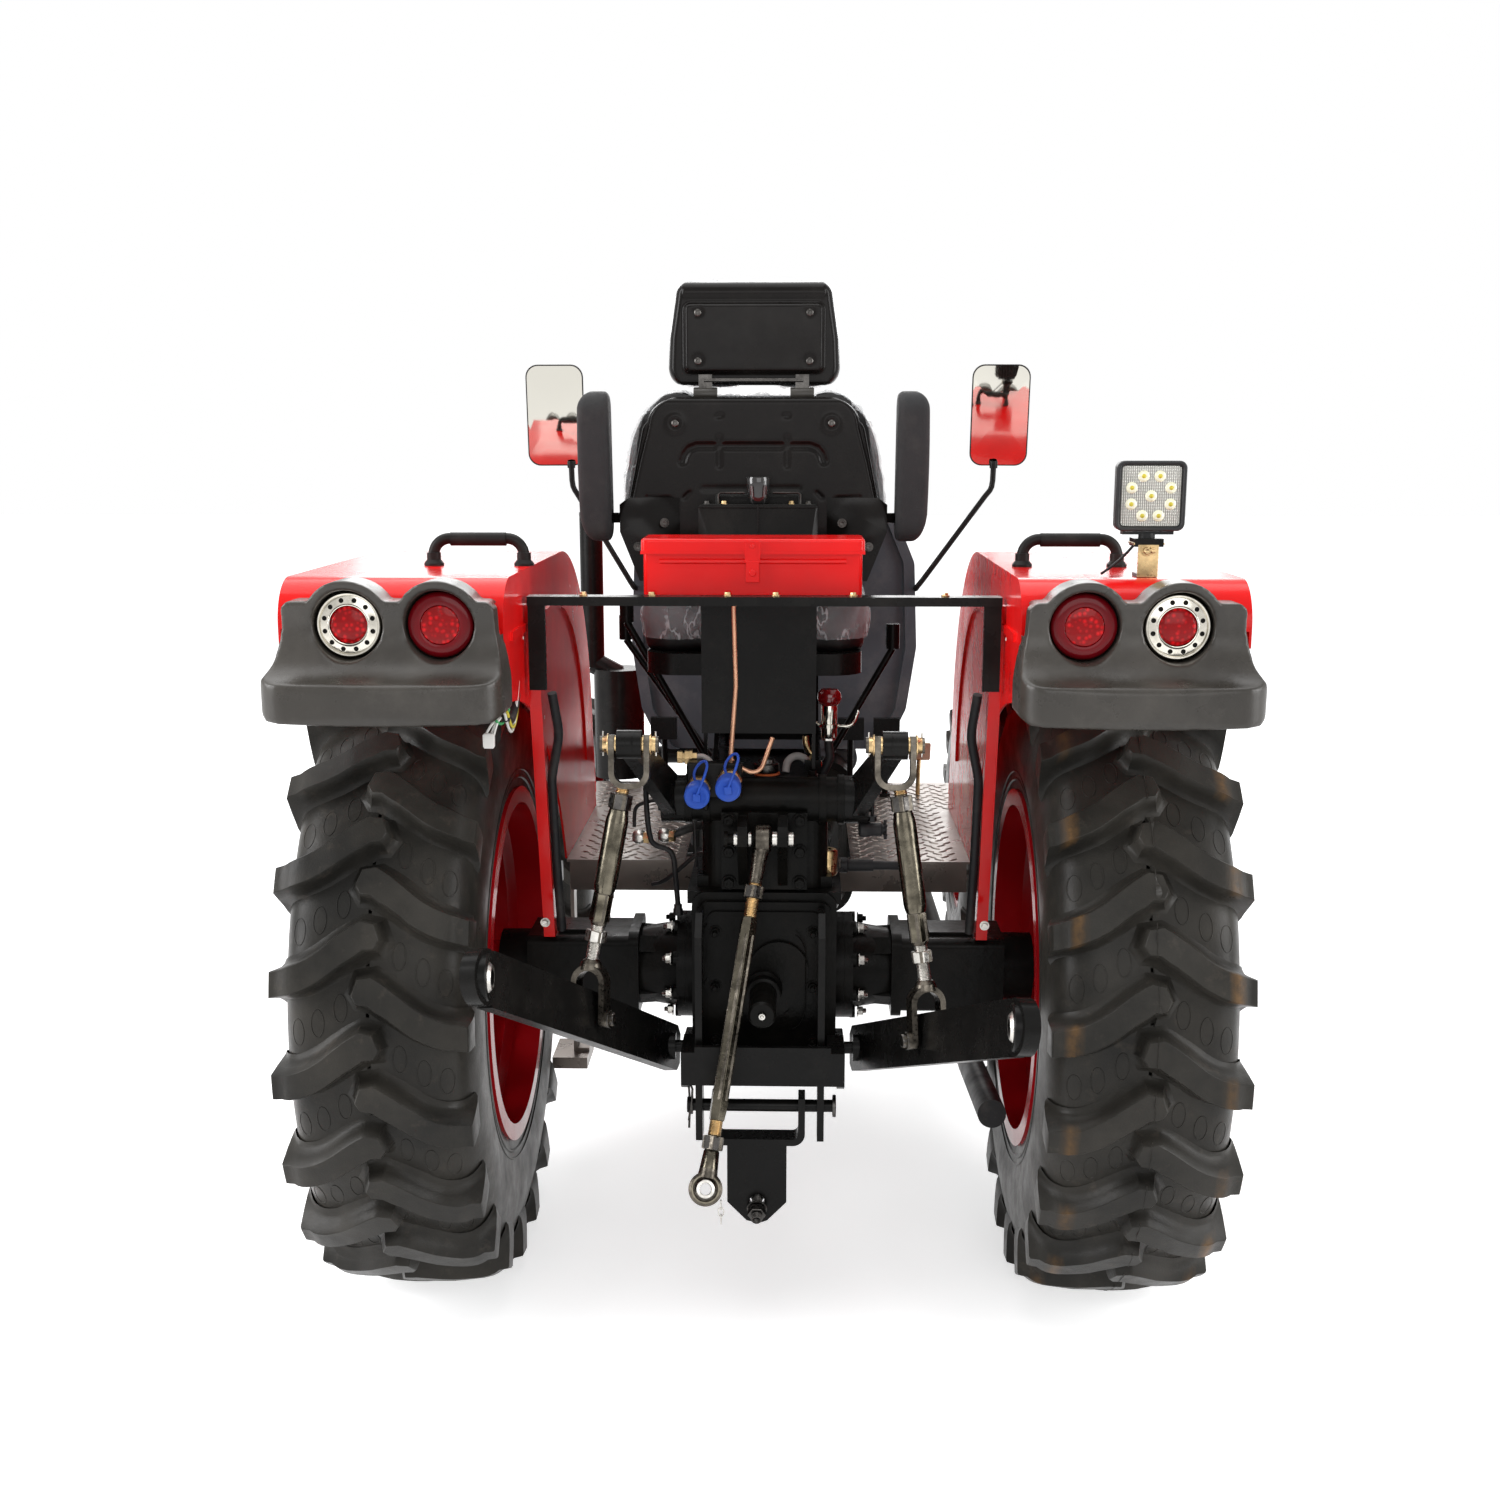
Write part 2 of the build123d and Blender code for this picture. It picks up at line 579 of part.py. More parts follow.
top_eye_x = (lug_x[0] + lug_width + lug_x[1]) / 2
top_end = at(-90, -450, 334)
top_pin = at(top_eye_x, top_pin_y, top_pin_z)
top_link_eye_r = 9.6
with BuildPart() as top_link:
    run = (top_end - top_pin).normalized()
    length = (top_end - top_pin).length
    half_eye = Vector(15, 0, 0)
    # the lower eye is turned to face back
    back = (Vector(0, -1, 0) - run * run.dot(Vector(0, -1, 0))).normalized()
    half_ball = back * top_eye_half
    turned(top_pin - half_eye, half_eye, [(0, 20), (4, 25), (26, 25), (30, 20)])
    turned(top_pin, run, [(16, 15), (40, 13), (78, 11), (78, 10), (100, 10)])
    prism(top_pin + run * 84, top_pin + run * 104, 30)
    rod(top_pin + run * 100, top_end - run * 40, 10)
    turned(top_pin, run, [(138, 10.5), (150, 12.2), (length - 128, 12.2), (length - 112, 10.5)])
    prism(top_pin + run * 168, top_end - run * 146, 25)
    prism(top_end - run * 86, top_end - run * 64, 32)
    turned(top_end, -run, [(18, 17), (34, 15), (64, 11)])
    turned(top_end - half_ball, half_ball, [
        (0, 15), (8, 20), (8, 24), (11, 28), (2 * top_eye_half - 11, 28), (2 * top_eye_half - 8, 24),
        (2 * top_eye_half - 8, 20), (2 * top_eye_half, 15)])
    rod(top_end - half_ball * 1.2, top_end + half_ball * 1.2, top_link_eye_r, mode=Mode.SUBTRACT)
    rod(top_pin - half_eye * 1.2, top_pin + half_eye * 1.2, 9.5 + pin_fit, mode=Mode.SUBTRACT)
top_link.part.label = "top_link"
export_step(top_link.part, "parts/top_link.step")

coupler_places = ((-113.0, 952.0), (-60.0, 965.0))
coupler_face = shaft_y - shaft_rim_r - fit      # behind the rim of the lift housing's boss
with BuildPart() as couplers:
    with BuildSketch(across(coupler_face)):
        with Locations((-86, 962)):
            RectangleRounded(96, 62, 8)
    extrude(amount=26)
    block(-107, -97, coupler_face - 14, coupler_face, shaft_z - 10, 940)
    for x, z in coupler_places:
        turned(at(x, coupler_face - 25, z), Vector(0, -1, -0.12), [
            (0, 19), (14, 19), (14, 16), (40, 16), (44, 21), (58, 22), (62, 18)])
couplers.part.label = "hydraulic_couplers"
export_step(couplers.part, "parts/hydraulic_couplers.step")

# Fenders: inner side, curved top, strut to the axle
fender_in = 400.0
fender_out = 752.0
fender_top = 1322.0
fender_front = 745.0
footplate_top = 720.0
footplate_in = 165.0
footplate_front = 1020.0
fender_rear = -425.0
strut_width = 20.0
edge_depth = 26.0               # rolled outer edge of the fender
for side, s in sides:
    with BuildPart() as fender:
        with BuildSketch(along(s * fender_in)) as wall:
            with BuildLine():
                Line((fender_rear, 1130), (fender_rear, 1250))
                ThreePointArc((fender_rear, 1250), (-403, 1301), (-350, fender_top))
                Line((-350, fender_top), (230, fender_top))
                ThreePointArc((230, fender_top), (560, 1190), (700, 900))
                Line((700, 900), (fender_front, footplate_top))
                Line((fender_front, footplate_top), (240, footplate_top))
                ThreePointArc((240, footplate_top), (-20, 1010), (fender_rear, 1130))
            make_face()
        extrude(wall.sketch, amount=s * sheet)
        with BuildSketch(along(s * fender_in)) as skin:
            with BuildLine():
                Line((fender_rear, 1250), (fender_rear, 1250 + sheet))
                ThreePointArc((fender_rear, 1250 + sheet), (-404, 1301 + sheet), (-350, fender_top + sheet))
                Line((-350, fender_top + sheet), (230, fender_top + sheet))
                ThreePointArc((230, fender_top + sheet), (563, 1192 + sheet), (704, 900))
                Line((704, 900), (fender_front + sheet, footplate_top + 30))
                Line((fender_front + sheet, footplate_top + 30), (fender_front, footplate_top + 30))
                Line((fender_front, footplate_top + 30), (700, 900))
                ThreePointArc((700, 900), (560, 1190), (230, fender_top))
                Line((230, fender_top), (-350, fender_top))
                ThreePointArc((-350, fender_top), (-403, 1301), (fender_rear, 1250))
            make_face()
        extrude(skin.sketch, amount=s * (fender_out - fender_in))
        # rolled outer edge, and a bead along the inner side
        with BuildSketch(along(s * (fender_out - sheet))) as edge:
            with BuildLine():
                Line((fender_rear, 1250), (fender_rear, 1250 - edge_depth))
                ThreePointArc((fender_rear, 1250 - edge_depth), (-390, 1288 - edge_depth), (-345, fender_top - edge_depth))
                Line((-345, fender_top - edge_depth), (228, fender_top - edge_depth))
                ThreePointArc((228, fender_top - edge_depth), (545, 1178), (700 - edge_depth, 900))
                Line((700 - edge_depth, 900), (fender_front - edge_depth, footplate_top + 60))
                Line((fender_front - edge_depth, footplate_top + 60), (fender_front + sheet, footplate_top + 30))
                Line((fender_front + sheet, footplate_top + 30), (704, 900))
                ThreePointArc((704, 900), (563, 1192 + sheet), (230, fender_top + sheet))
                Line((230, fender_top + sheet), (-350, fender_top + sheet))
                ThreePointArc((-350, fender_top + sheet), (-404, 1301 + sheet), (fender_rear, 1250 + sheet))
                Line((fender_rear, 1250 + sheet), (fender_rear, 1250))
            make_face()
        extrude(edge.sketch, amount=s * sheet)
        with BuildSketch(along(s * fender_in)) as bead:
            with BuildLine():
                Line((-360, 1225), (120, 1225))
                ThreePointArc((120, 1225), (420, 1130), (560, 860))
                Line((560, 860), (574, 863))
                ThreePointArc((574, 863), (430, 1140), (120, 1239))
                Line((120, 1239), (-360, 1239))
                Line((-360, 1239), (-360, 1225))
            make_face()
        extrude(bead.sketch, amount=-s * 4)
        # strut from the fender to the axle housing
        extrude(outline(along(s * fender_in), (
            (-219.7, 1268), (-190, 1268), (-60, strut_foot), (-90, strut_foot),
        )), amount=-s * strut_width)
    fender.part.label = f"fender_{side}"
    export_step(fender.part, f"parts/fender_{side}.step")

lamp_x = (488.0, 628.0)
lamp_z = 1262.0
lamp_r = 50.5
pod_in = 388.0
pod_out = 757.0
pod_depth = 130.0               # from the fender's end to the lip's face
brow_r = 67.0
lamp_seat = 30.0                # depth at which the lamps sit, from the fender's end
with BuildPart() as pod:
    # rear view: two brows over a body that flares down to the lip
    with BuildSketch(across(fender_rear - fit)) as rear_view:
        with BuildLine():
            Polyline((pod_in, 1176), (pod_in, 1132), (pod_in + 14, 1121))
            ThreePointArc((pod_in + 14, 1121), (572, 1116), (pod_out - 14, 1121))
            Polyline((pod_out - 14, 1121), (pod_out, 1132), (pod_out, 1176), (740, 1205), (729, 1255),
                     (728, 1288), (718, 1299), (414, 1299), (403, 1288), (401, 1250), (392, 1205),
                     (pod_in, 1176))
        make_face()
        with Locations(*[(x, lamp_z + 2) for x in lamp_x]):
            Circle(brow_r)
    extrude(rear_view.sketch, amount=pod_depth)
    # side view: the brow overhangs the lamps, and the face sweeps out to the lip
    with BuildSketch(along(pod_in - 10)) as side_view:
        with BuildLine():
            Spline((fender_rear - 84, 1340), (fender_rear - 66, 1290), (fender_rear - 60, 1245),
                   (fender_rear - 80, 1204), (fender_rear - pod_depth + 6, 1180))
            Polyline((fender_rear - pod_depth + 6, 1180), (fender_rear - pod_depth, 1172),
                     (fender_rear - pod_depth, 1128), (fender_rear - pod_depth + 10, 1110),
                     (fender_rear + 10, 1110), (fender_rear + 10, 1340), (fender_rear - 84, 1340))
        make_face()
    extrude(side_view.sketch, amount=pod_out - pod_in + 20, mode=Mode.INTERSECT)
    # plan: round corners and a slight bow
    with BuildSketch(level(1100)) as plan:
        with BuildLine():
            Line((pod_in, fender_rear + 10), (pod_in, fender_rear - 84))
            ThreePointArc((pod_in, fender_rear - 84), (402, fender_rear - 113), (434, fender_rear - 126))
            ThreePointArc((434, fender_rear - 126), (572, fender_rear - 130), (711, fender_rear - 126))
            ThreePointArc((711, fender_rear - 126), (743, fender_rear - 113), (pod_out, fender_rear - 84))
            Polyline((pod_out, fender_rear - 84), (pod_out, fender_rear + 10), (pod_in, fender_rear + 10))
        make_face()
    extrude(plan.sketch, amount=260, mode=Mode.INTERSECT)
    # hollow behind the face, open towards the fender
    block(pod_in + 12, pod_out - 30, fender_rear - lamp_seat + 4, fender_rear, 1132, 1290, mode=Mode.SUBTRACT)
    block(pod_in + 20, pod_out - 20, fender_rear - pod_depth + 14, fender_rear, 1130, 1170, mode=Mode.SUBTRACT)
    # lamp recesses
    for x in lamp_x:
        turned(at(x, fender_rear - lamp_seat, lamp_z), Vector(0, -1, 0), [(0, lamp_r + 3), (34, lamp_r + 3), (70, lamp_r + 9)],
               mode=Mode.SUBTRACT)
with BuildPart() as pods:
    add(pod.part)
    mirror(pod.part, about=Plane.YZ)
pods.part.label = "light_pods"
export_step(pods.part, "parts/light_pods.step")

with BuildPart() as tail_lamps:
    for side, s in sides:
        for x in lamp_x:
            turned(at(s * x, fender_rear - lamp_seat - fit, lamp_z), Vector(0, -1, 0), [
                (0, lamp_r), (18, lamp_r), (22, lamp_r - 3), (22, 32), (18, 30), (18, 28), (22, 20), (23, 8)])
tail_lamps.part.label = "tail_lamps"
export_step(tail_lamps.part, "parts/tail_lamps.step")

handle_x = {"left": (-578.0, -403.0), "right": (427.0, 607.0)}
with BuildPart() as handles:
    for side, s in sides:
        x0, x1 = handle_x[side]
        foot = fender_top + sheet + fit
        pipe([at(x0 + 10, -120, foot), at(x0 + 10, -120, 1372), at(x1 - 10, -120, 1372), at(x1 - 10, -120, foot)],
             28, 9.5)
        rod(at(x0 + 40, -120, 1371), at(x1 - 40, -120, 1371), 11.5)
        for x in (x0 + 10, x1 - 10):
            turned(at(x, -120, foot), Vector(0, 0, 1), [(0, 17), (4, 17), (10, 12), (22, 12)])
handles.part.label = "grab_handles"
export_step(handles.part, "parts/grab_handles.step")

# Cross bar behind the seat, with the toolbox on it
bar_half = 392.0
bar_top = 1284.0
bar_y0 = -240.0
bar_y1 = -200.0
box_half = 182.0
box_middle = -19.0
box_rear = -205.0
box_front = -85.0
box_wall = 2.5
hinge_out = 5.0                 # hinge pin, in front of the box
lid_bottom = 1352.0
lid_top = 1377.0
with BuildPart() as rear_bar:
    block(-bar_half, bar_half, bar_y0, bar_y1, bar_top - 15, bar_top)
    for side, s in sides:
        block(s * (bar_half - 28), s * bar_half, -232, -220, 1127, bar_top - 10)
rear_bar.part.label = "rear_bar"
export_step(rear_bar.part, "parts/rear_bar.step")

hinge_r = 4.0
hinge_z = lid_bottom - hinge_r - fit
with BuildPart() as toolbox:
    with BuildSketch(level(bar_top + fit)) as box_plan:
        with Locations((box_middle, (box_rear + box_front) / 2)):
            RectangleRounded(2 * box_half, box_front - box_rear, 8)
    extrude(box_plan.sketch, amount=lid_bottom - bar_top - fit)
    # pressed bead along the back
    rod(at(box_middle - 155, box_rear + 1, 1340), at(box_middle + 155, box_rear + 1, 1340), 4.5)
    with BuildSketch(level(bar_top + fit + box_wall)) as hollow:
        with Locations((box_middle, (box_rear + box_front) / 2)):
            RectangleRounded(2 * (box_half - box_wall), box_front - box_rear - 2 * box_wall, 8 - box_wall)
    extrude(hollow.sketch, amount=100, mode=Mode.SUBTRACT)
    # outer hinge knuckles and their pin
    for x in (-150, 90):
        block(x, x + 20, box_front - 1, box_front + hinge_out, 1340, hinge_z)
        rod(at(x, box_front + hinge_out, hinge_z), at(x + 20, box_front + hinge_out, hinge_z), hinge_r)
        rod(at(x + 20, box_front + hinge_out, hinge_z), at(x + 42, box_front + hinge_out, hinge_z), 2)
toolbox.part.label = "toolbox"
export_step(toolbox.part, "parts/toolbox.step")

lid_gap = fit
with BuildPart() as toolbox_lid:
    with BuildSketch(level(lid_bottom)) as lid_plan:
        with Locations((box_middle, (box_rear + box_front) / 2)):
            RectangleRounded(2 * box_half + 8, box_front - box_rear + 8, 11)
    extrude(lid_plan.sketch, amount=lid_top - lid_bottom)
    fillet(toolbox_lid.faces().sort_by(Axis.Z)[-1].edges(), 5)
    with BuildSketch(level(lid_bottom)) as lid_hollow:
        with Locations((box_middle, (box_rear + box_front) / 2)):
            RectangleRounded(2 * box_half + 8 - 2 * box_wall, box_front - box_rear + 8 - 2 * box_wall, 8.5)
    extrude(lid_hollow.sketch, amount=lid_top - lid_bottom - box_wall, mode=Mode.SUBTRACT)
    # rolled lip, hasp and hinge knuckles
    block(box_middle - box_half - 4, box_middle + box_half + 4, box_rear - 7, box_rear - 4, lid_bottom, lid_bottom + 5)
    extrude(outline(across(box_rear - 7), (
        (box_middle - 7, lid_top - 6), (box_middle - 7, lid_bottom - 6), (box_middle - 10, lid_bottom - 14),
        (box_middle - 4, lid_bottom - 24), (box_middle + 4, lid_bottom - 24), (box_middle + 10, lid_bottom - 14),
        (box_middle + 7, lid_bottom - 6), (box_middle + 7, lid_top - 6),
    )), amount=2.5)
    block(box_middle - 7, box_middle + 7, box_rear - 7.2, box_rear - 3.5, lid_top - 14, lid_top - 6)
    for x in (-150, 90):
        knuckle_run = Vector(20, 0, 0)
        start = at(x + 20 + fit, box_front + hinge_out, hinge_z)
        rod(start, start + knuckle_run, hinge_r)
        block(x + 20 + fit, x + 40 + fit, box_front + 1.5, box_front + 5, hinge_z, lid_bottom + 6)
        rod(start - knuckle_run, start + knuckle_run * 2, 2 + pin_fit, mode=Mode.SUBTRACT)
toolbox_lid.part.label = "toolbox_lid"
export_step(toolbox_lid.part, "parts/toolbox_lid.step")

plate_foot = shaft_z + 46 + fit
switch_front = 20.0
switch_rear = -44.0             # clear of the open lid
with BuildPart() as seat_plate:
    block(-110, 89, -120, -112, plate_foot, 1264)
    for x in (-110, 83):
        block(x, x + 6, -112, -30, plate_foot, 1264)
        block(x, x + 6, -58, -30, 948 + fit, plate_foot)
    # battery switch box with its knob, and the rail behind it
    with BuildSketch(across(switch_front)) as switch_box:
        with Locations((-14, 1363)):
            RectangleRounded(208, 127, 6)
    extrude(switch_box.sketch, amount=switch_front - switch_rear)
    turned(at(-14, switch_rear + 24, 1424), Vector(0, 0, 1), [(0, 14), (6, 14), (10, 16), (46, 19), (49, 17)])
    for s in (-1, 1):
        block(-14 + s * 76, -14 + s * 70, -10, 10, 1420, 1444)
    block(-90, 62, -6, 6, 1438, 1444)
    block(-80, 70, -72, switch_rear + 4, 1250, 1310)
    block(-110, 89, -120, -55, 1256, 1264)
seat_plate.part.label = "seat_plate"
export_step(seat_plate.part, "parts/seat_plate.step")

# Driver's seat
cushion_z0 = 1152.0
cushion_z1 = 1268.0
seat_x = -24.0                  # the seat stands left of the middle
pan_rear = 65.0
with BuildPart() as seat_base:
    for s in (-1, 1):
        block(s * 70, s * 100, -30, 330, 948 + fit, 972)
        extrude(outline(along(s * 96), (
            (0, 972), (60, 972), (280, 1100), (280, 1118), (220, 1118),
        )), amount=-s * 8)
        extrude(outline(along(s * 84), (
            (300, 972), (240, 972), (20, 1100), (20, 1118), (80, 1118),
        )), amount=-s * 8)
    block(-104, 104, 240, 300, 962, 980)
    # pan with rounded corners
    with BuildSketch(level(1112)) as pan:
        with Locations((seat_x, pan_rear + 220)):
            RectangleRounded(400, 440, 60)
    extrude(pan.sketch, amount=cushion_z0 - fit - 1112)
seat_base.part.label = "seat_base"
export_step(seat_base.part, "parts/seat_base.step")

cushion_half = 215.0
with BuildPart() as cushion:
    with BuildSketch(level(cushion_z0)) as seat_plan:
        with Locations((seat_x, 300)):
            RectangleRounded(2 * cushion_half, 430, 70)
    extrude(seat_plan.sketch, amount=cushion_z1 - cushion_z0)
    fillet(cushion.faces().sort_by(Axis.Z)[-1].edges(), 28)
cushion.part.label = "seat_cushion"
export_step(cushion.part, "parts/seat_cushion.step")

# outline of the back, half width and height from the bottom up
back_outline = ((196, 1300), (226, 1372), (222, 1432), (196, 1560), (150, 1610))
shell_rear = 26.0
shell_face = 48.0
arm_pivot_y = 38.0
arm_pivot_z = 1400.0
arm_inner = 252.0
arm_width = 58.0


def mirrored(points, grow=0.0, lift=0.0):
    """The points as a closed outline about the middle, widened by grow, its upper ones raised by lift."""
    right = [(x + grow, z + (lift if z > 1500 else 0)) for x, z in points]
    return [*right, *((-x, z) for x, z in reversed(right))]


with BuildPart() as back_shell:
    extrude(outline(across(shell_face, seat_x), mirrored(back_outline), 30), amount=shell_face - shell_rear)
    fillet(back_shell.faces().sort_by(Axis.Y)[0].edges(), 8)
    # pressed grooves and the screws' dimples
    with BuildSketch(across(shell_rear, seat_x)) as grooves:
        with Locations((0, 1529)):
            SlotOverall(250, 15)
        for s in (-1, 1):
            with Locations((s * 122, 1514)):
                SlotOverall(44, 14, rotation=90 - s * 20)
            with Locations((s * 58, 1512)):
                SlotOverall(46, 12, rotation=90)
    extrude(grooves.sketch, amount=-2.5, mode=Mode.SUBTRACT)
    with BuildSketch(across(shell_rear, seat_x)) as dimples:
        with Locations((-138, 1565), (138, 1565)):
            Circle(14)
            Circle(9, mode=Mode.SUBTRACT)
    extrude(dimples.sketch, amount=2)
    for side, s in sides:
        # side bracket down to the seat pan
        extrude(outline(across(shell_rear, seat_x), (
            (s * 131, 1300), (s * 131, 1436), (s * 222, 1436), (s * 238, 1424), (s * 238, 1376), (s * 204, 1290),
            (s * 190, 1118), (s * 160, 1118), (s * 160, 1290),
        )), amount=6)
        block(seat_x + s * 110, seat_x + s * 190, shell_rear - 6, pan_rear - fit, 1118, 1150)
        rod(at(seat_x + s * 215, arm_pivot_y, arm_pivot_z), at(seat_x + s * (arm_inner + 22), arm_pivot_y, arm_pivot_z), 9)
        # headrest hinge barrels
        block(seat_x + s * 72, seat_x + s * 100, shell_face - 12, 70, 1590, 1606)
        rod(at(seat_x + s * 67, 66, 1616), at(seat_x + s * 105, 66, 1616), 10)
        block(seat_x + s * 72, seat_x + s * 100, 58, 74, 1600, 1616)
back_shell.part.label = "seat_back_shell"
export_step(back_shell.part, "parts/seat_back_shell.step")

with BuildPart() as back_cushion:
    extrude(outline(across(shell_face + fit, seat_x), mirrored(back_outline, 18, 16), 40), amount=-95)
    fillet(back_cushion.faces().sort_by(Axis.Y)[-1].edges(), 30)
    block(seat_x - 112, seat_x + 112, 40, 84, 1586, 1650, mode=Mode.SUBTRACT)
back_cushion.part.label = "seat_back_cushion"
export_step(back_cushion.part, "parts/seat_back_cushion.step")

rest_outline = ((137, 1632), (158, 1662), (152, 1712), (139, 1786), (124, 1811))
with BuildPart() as headrest_shell:
    extrude(outline(across(92, seat_x), mirrored(rest_outline), 14), amount=20)
    fillet(headrest_shell.faces().sort_by(Axis.Y)[0].edges(), 7)
    with BuildSketch(across(72, seat_x)) as panel:
        with Locations((0, 1721)):
            RectangleRounded(264, 122, 14)
    extrude(panel.sketch, amount=9, taper=12)
    with BuildSketch(across(63, seat_x)) as screws:
        with Locations((-99, 1758), (99, 1758), (-99, 1682), (99, 1682)):
            Circle(11)
            Circle(5, mode=Mode.SUBTRACT)
    extrude(screws.sketch, amount=-2.5, mode=Mode.SUBTRACT)
    for side, s in sides:
        block(seat_x + s * 74, seat_x + s * 98, 58, 74, 1626 + fit, 1650)
    rod(at(seat_x - 88, 62, 1640), at(seat_x + 88, 62, 1640), 3)
headrest_shell.part.label = "headrest_shell"
export_step(headrest_shell.part, "parts/headrest_shell.step")

with BuildPart() as headrest_cushion:
    extrude(outline(across(92 + fit, seat_x), mirrored(rest_outline, -5), 14), amount=-70)
    fillet(headrest_cushion.faces().sort_by(Axis.Y)[-1].edges(), 16)
headrest_cushion.part.label = "headrest_cushion"
export_step(headrest_cushion.part, "parts/headrest_cushion.step")

armrest_lean = 6.0
for side, s in sides:
    with BuildPart() as armrest:
        arm_run = Vector(0, -sin(radians(armrest_lean)), cos(radians(armrest_lean)))
        pivot = at(seat_x + s * arm_inner, arm_pivot_y, arm_pivot_z)
        with BuildSketch(Plane(origin=pivot, x_dir=arm_run, z_dir=(1, 0, 0))) as pad:
            with Locations((90, 0)):
                RectangleRounded(262, 70, 30)
        extrude(pad.sketch, amount=s * arm_width)
        fillet(armrest.edges().group_by(Axis.X)[0], 12)
        fillet(armrest.edges().group_by(Axis.X)[-1], 12)
        rod(pivot - Vector(s * 5, 0, 0), pivot + Vector(s * 26, 0, 0), 9 + pin_fit, mode=Mode.SUBTRACT)
    armrest.part.label = f"armrest_{side}"
    export_step(armrest.part, f"parts/armrest_{side}.step")

# Work light on the right fender
light_x = 605.0
light_z = 1452.0
light_size = 106.0
with BuildPart() as work_light:
    foot = fender_top + sheet + fit
    # bent flat bracket
    block(light_x - 16, light_x + 14, -345, -300, foot, foot + 5)
    block(light_x - 16, light_x + 14, -345, -340, foot, 1378)
    # clamp and U yoke
    with BuildSketch(level(1374)) as clamp:
        with Locations((light_x, -322)):
            RectangleRounded(44, 46, 6)
    extrude(clamp.sketch, amount=12)
    rod(at(light_x, -322, 1386), at(light_x, -322, 1394), 13)
    block(light_x - 40, light_x + 40, -332, -312, 1392, 1397)
    for s in (-1, 1):
        block(light_x + s * 35, light_x + s * 40, -332, -312, 1392, 1412)
    # die-cast body: bezel, recessed face and cooling fins in front
    with BuildSketch(across(-318)) as body:
        with Locations((light_x, light_z)):
            RectangleRounded(light_size, light_size, 10)
    extrude(body.sketch, amount=24)
    with BuildSketch(across(-342)) as window:
        with Locations((light_x, light_z)):
            RectangleRounded(light_size - 12, light_size - 12, 7)
    extrude(window.sketch, amount=-4, mode=Mode.SUBTRACT)
    for k in range(8):
        x = light_x - 42 + 12 * k
        block(x - 1.5, x + 1.5, -318, -292, light_z - 46, light_z + 46)
work_light.part.label = "work_light"
export_step(work_light.part, "parts/work_light.step")

# Dash, steering column and mirrors
dash_rear = 1020.0
dash_front = 1110.0
hood_gap = 12.0
hood_hinge_y = dash_front + hood_gap + 36
hood_hinge_z = 1352.0
column_base = at(0, dash_rear + 20, 1180)
wheel_centre = at(0, 780, 1375)
column_run = (wheel_centre - column_base).normalized()
column_length = (wheel_centre - column_base).length
hub_below = 30.0                # column's end, below the wheel's centre
dash_outline = ((270, 800), (318, 900), (340, 1050), (332, 1250), (290, 1350), (225, 1395))
with BuildPart() as dash:
    # arched frame round a recessed panel
    extrude(outline(across(dash_rear), mirrored(dash_outline), 40), amount=-34)
    extrude(outline(across(dash_rear), mirrored(dash_outline, -26), 24), amount=-14, mode=Mode.SUBTRACT)
    extrude(outline(across(dash_rear + 30), mirrored(dash_outline, -10), 34), amount=dash_rear + 30 - dash_front)
    # instrument pod that leans towards the driver, and the shelf below it
    extrude(outline(along(-150), (
        (dash_rear + 20, 1270), (dash_rear - 60, 1300), (dash_rear - 92, 1330), (dash_rear - 40, 1446),
        (dash_rear + 40, 1440), (dash_rear + 60, 1380), (dash_rear + 20, 1380),
    )), amount=300)
    extrude(outline(along(-110), (
        (dash_rear + 20, 1060), (dash_rear - 60, 1090), (dash_rear - 80, 1150), (dash_rear - 60, 1300),
        (dash_rear + 20, 1300),
    )), amount=220)
    turned(column_base, column_run, [(-10, 52), (90, 44), (150, 36), (column_length - hub_below, 32)])
    # feet on the bell, and hinge pins that carry the hood
    for s in (-1, 1):
        block(s * 110, s * 140, dash_rear + 20, dash_rear + 60, bell_top + fit, 802)
        block(s * 150, s * 180, dash_front - 5, hood_hinge_y + 9, hood_hinge_z - 62, hood_hinge_z - 40)
        block(s * 150, s * 180, hood_hinge_y - 9, hood_hinge_y + 9, hood_hinge_z - 62, hood_hinge_z)
        rod(at(s * 150, hood_hinge_y, hood_hinge_z), at(s * 200, hood_hinge_y, hood_hinge_z), 9)
dash.part.label = "dash_panel"
export_step(dash.part, "parts/dash_panel.step")

with BuildPart() as steering_wheel:
    wheel_face = Plane(origin=wheel_centre, x_dir=(1, 0, 0), z_dir=column_run)
    with BuildSketch(Plane(origin=wheel_centre + Vector(188, 0, 0), x_dir=(1, 0, 0), z_dir=(0, 1, 0))) as ring:
        Circle(13)
    revolve(ring.sketch, axis=Axis(wheel_centre, column_run))
    rod(wheel_centre - column_run * (hub_below - fit), wheel_centre + column_run * 8, 38)
    for k in range(3):
        turn = radians(90 + 120 * k)
        spoke = wheel_face.x_dir * cos(turn) + wheel_face.y_dir * sin(turn)
        rod(wheel_centre + spoke * 20, wheel_centre + spoke * 180, 8)
steering_wheel.part.label = "steering_wheel"
export_step(steering_wheel.part, "parts/steering_wheel.step")

with BuildPart() as mirrors:
    for s, foot_x, knee_x, head_x in ((-1, 330, 470, 508), (1, 335, 505, 520)):
        foot = at(s * foot_x, 1000, 1190)
        pipe([at(s * foot_x, dash_rear - fit, 1190), foot, at(s * knee_x, 1000, 1425),
              at(s * (knee_x + 4), 1000, 1490)], [8, 40], 6.5)
        with BuildSketch(across(1006)) as head:
            with Locations((s * head_x, 1590)):
                RectangleRounded(133, 230, 28)
        extrude(head.sketch, amount=22)
mirrors.part.label = "mirrors"
export_step(mirrors.part, "parts/mirrors.step")

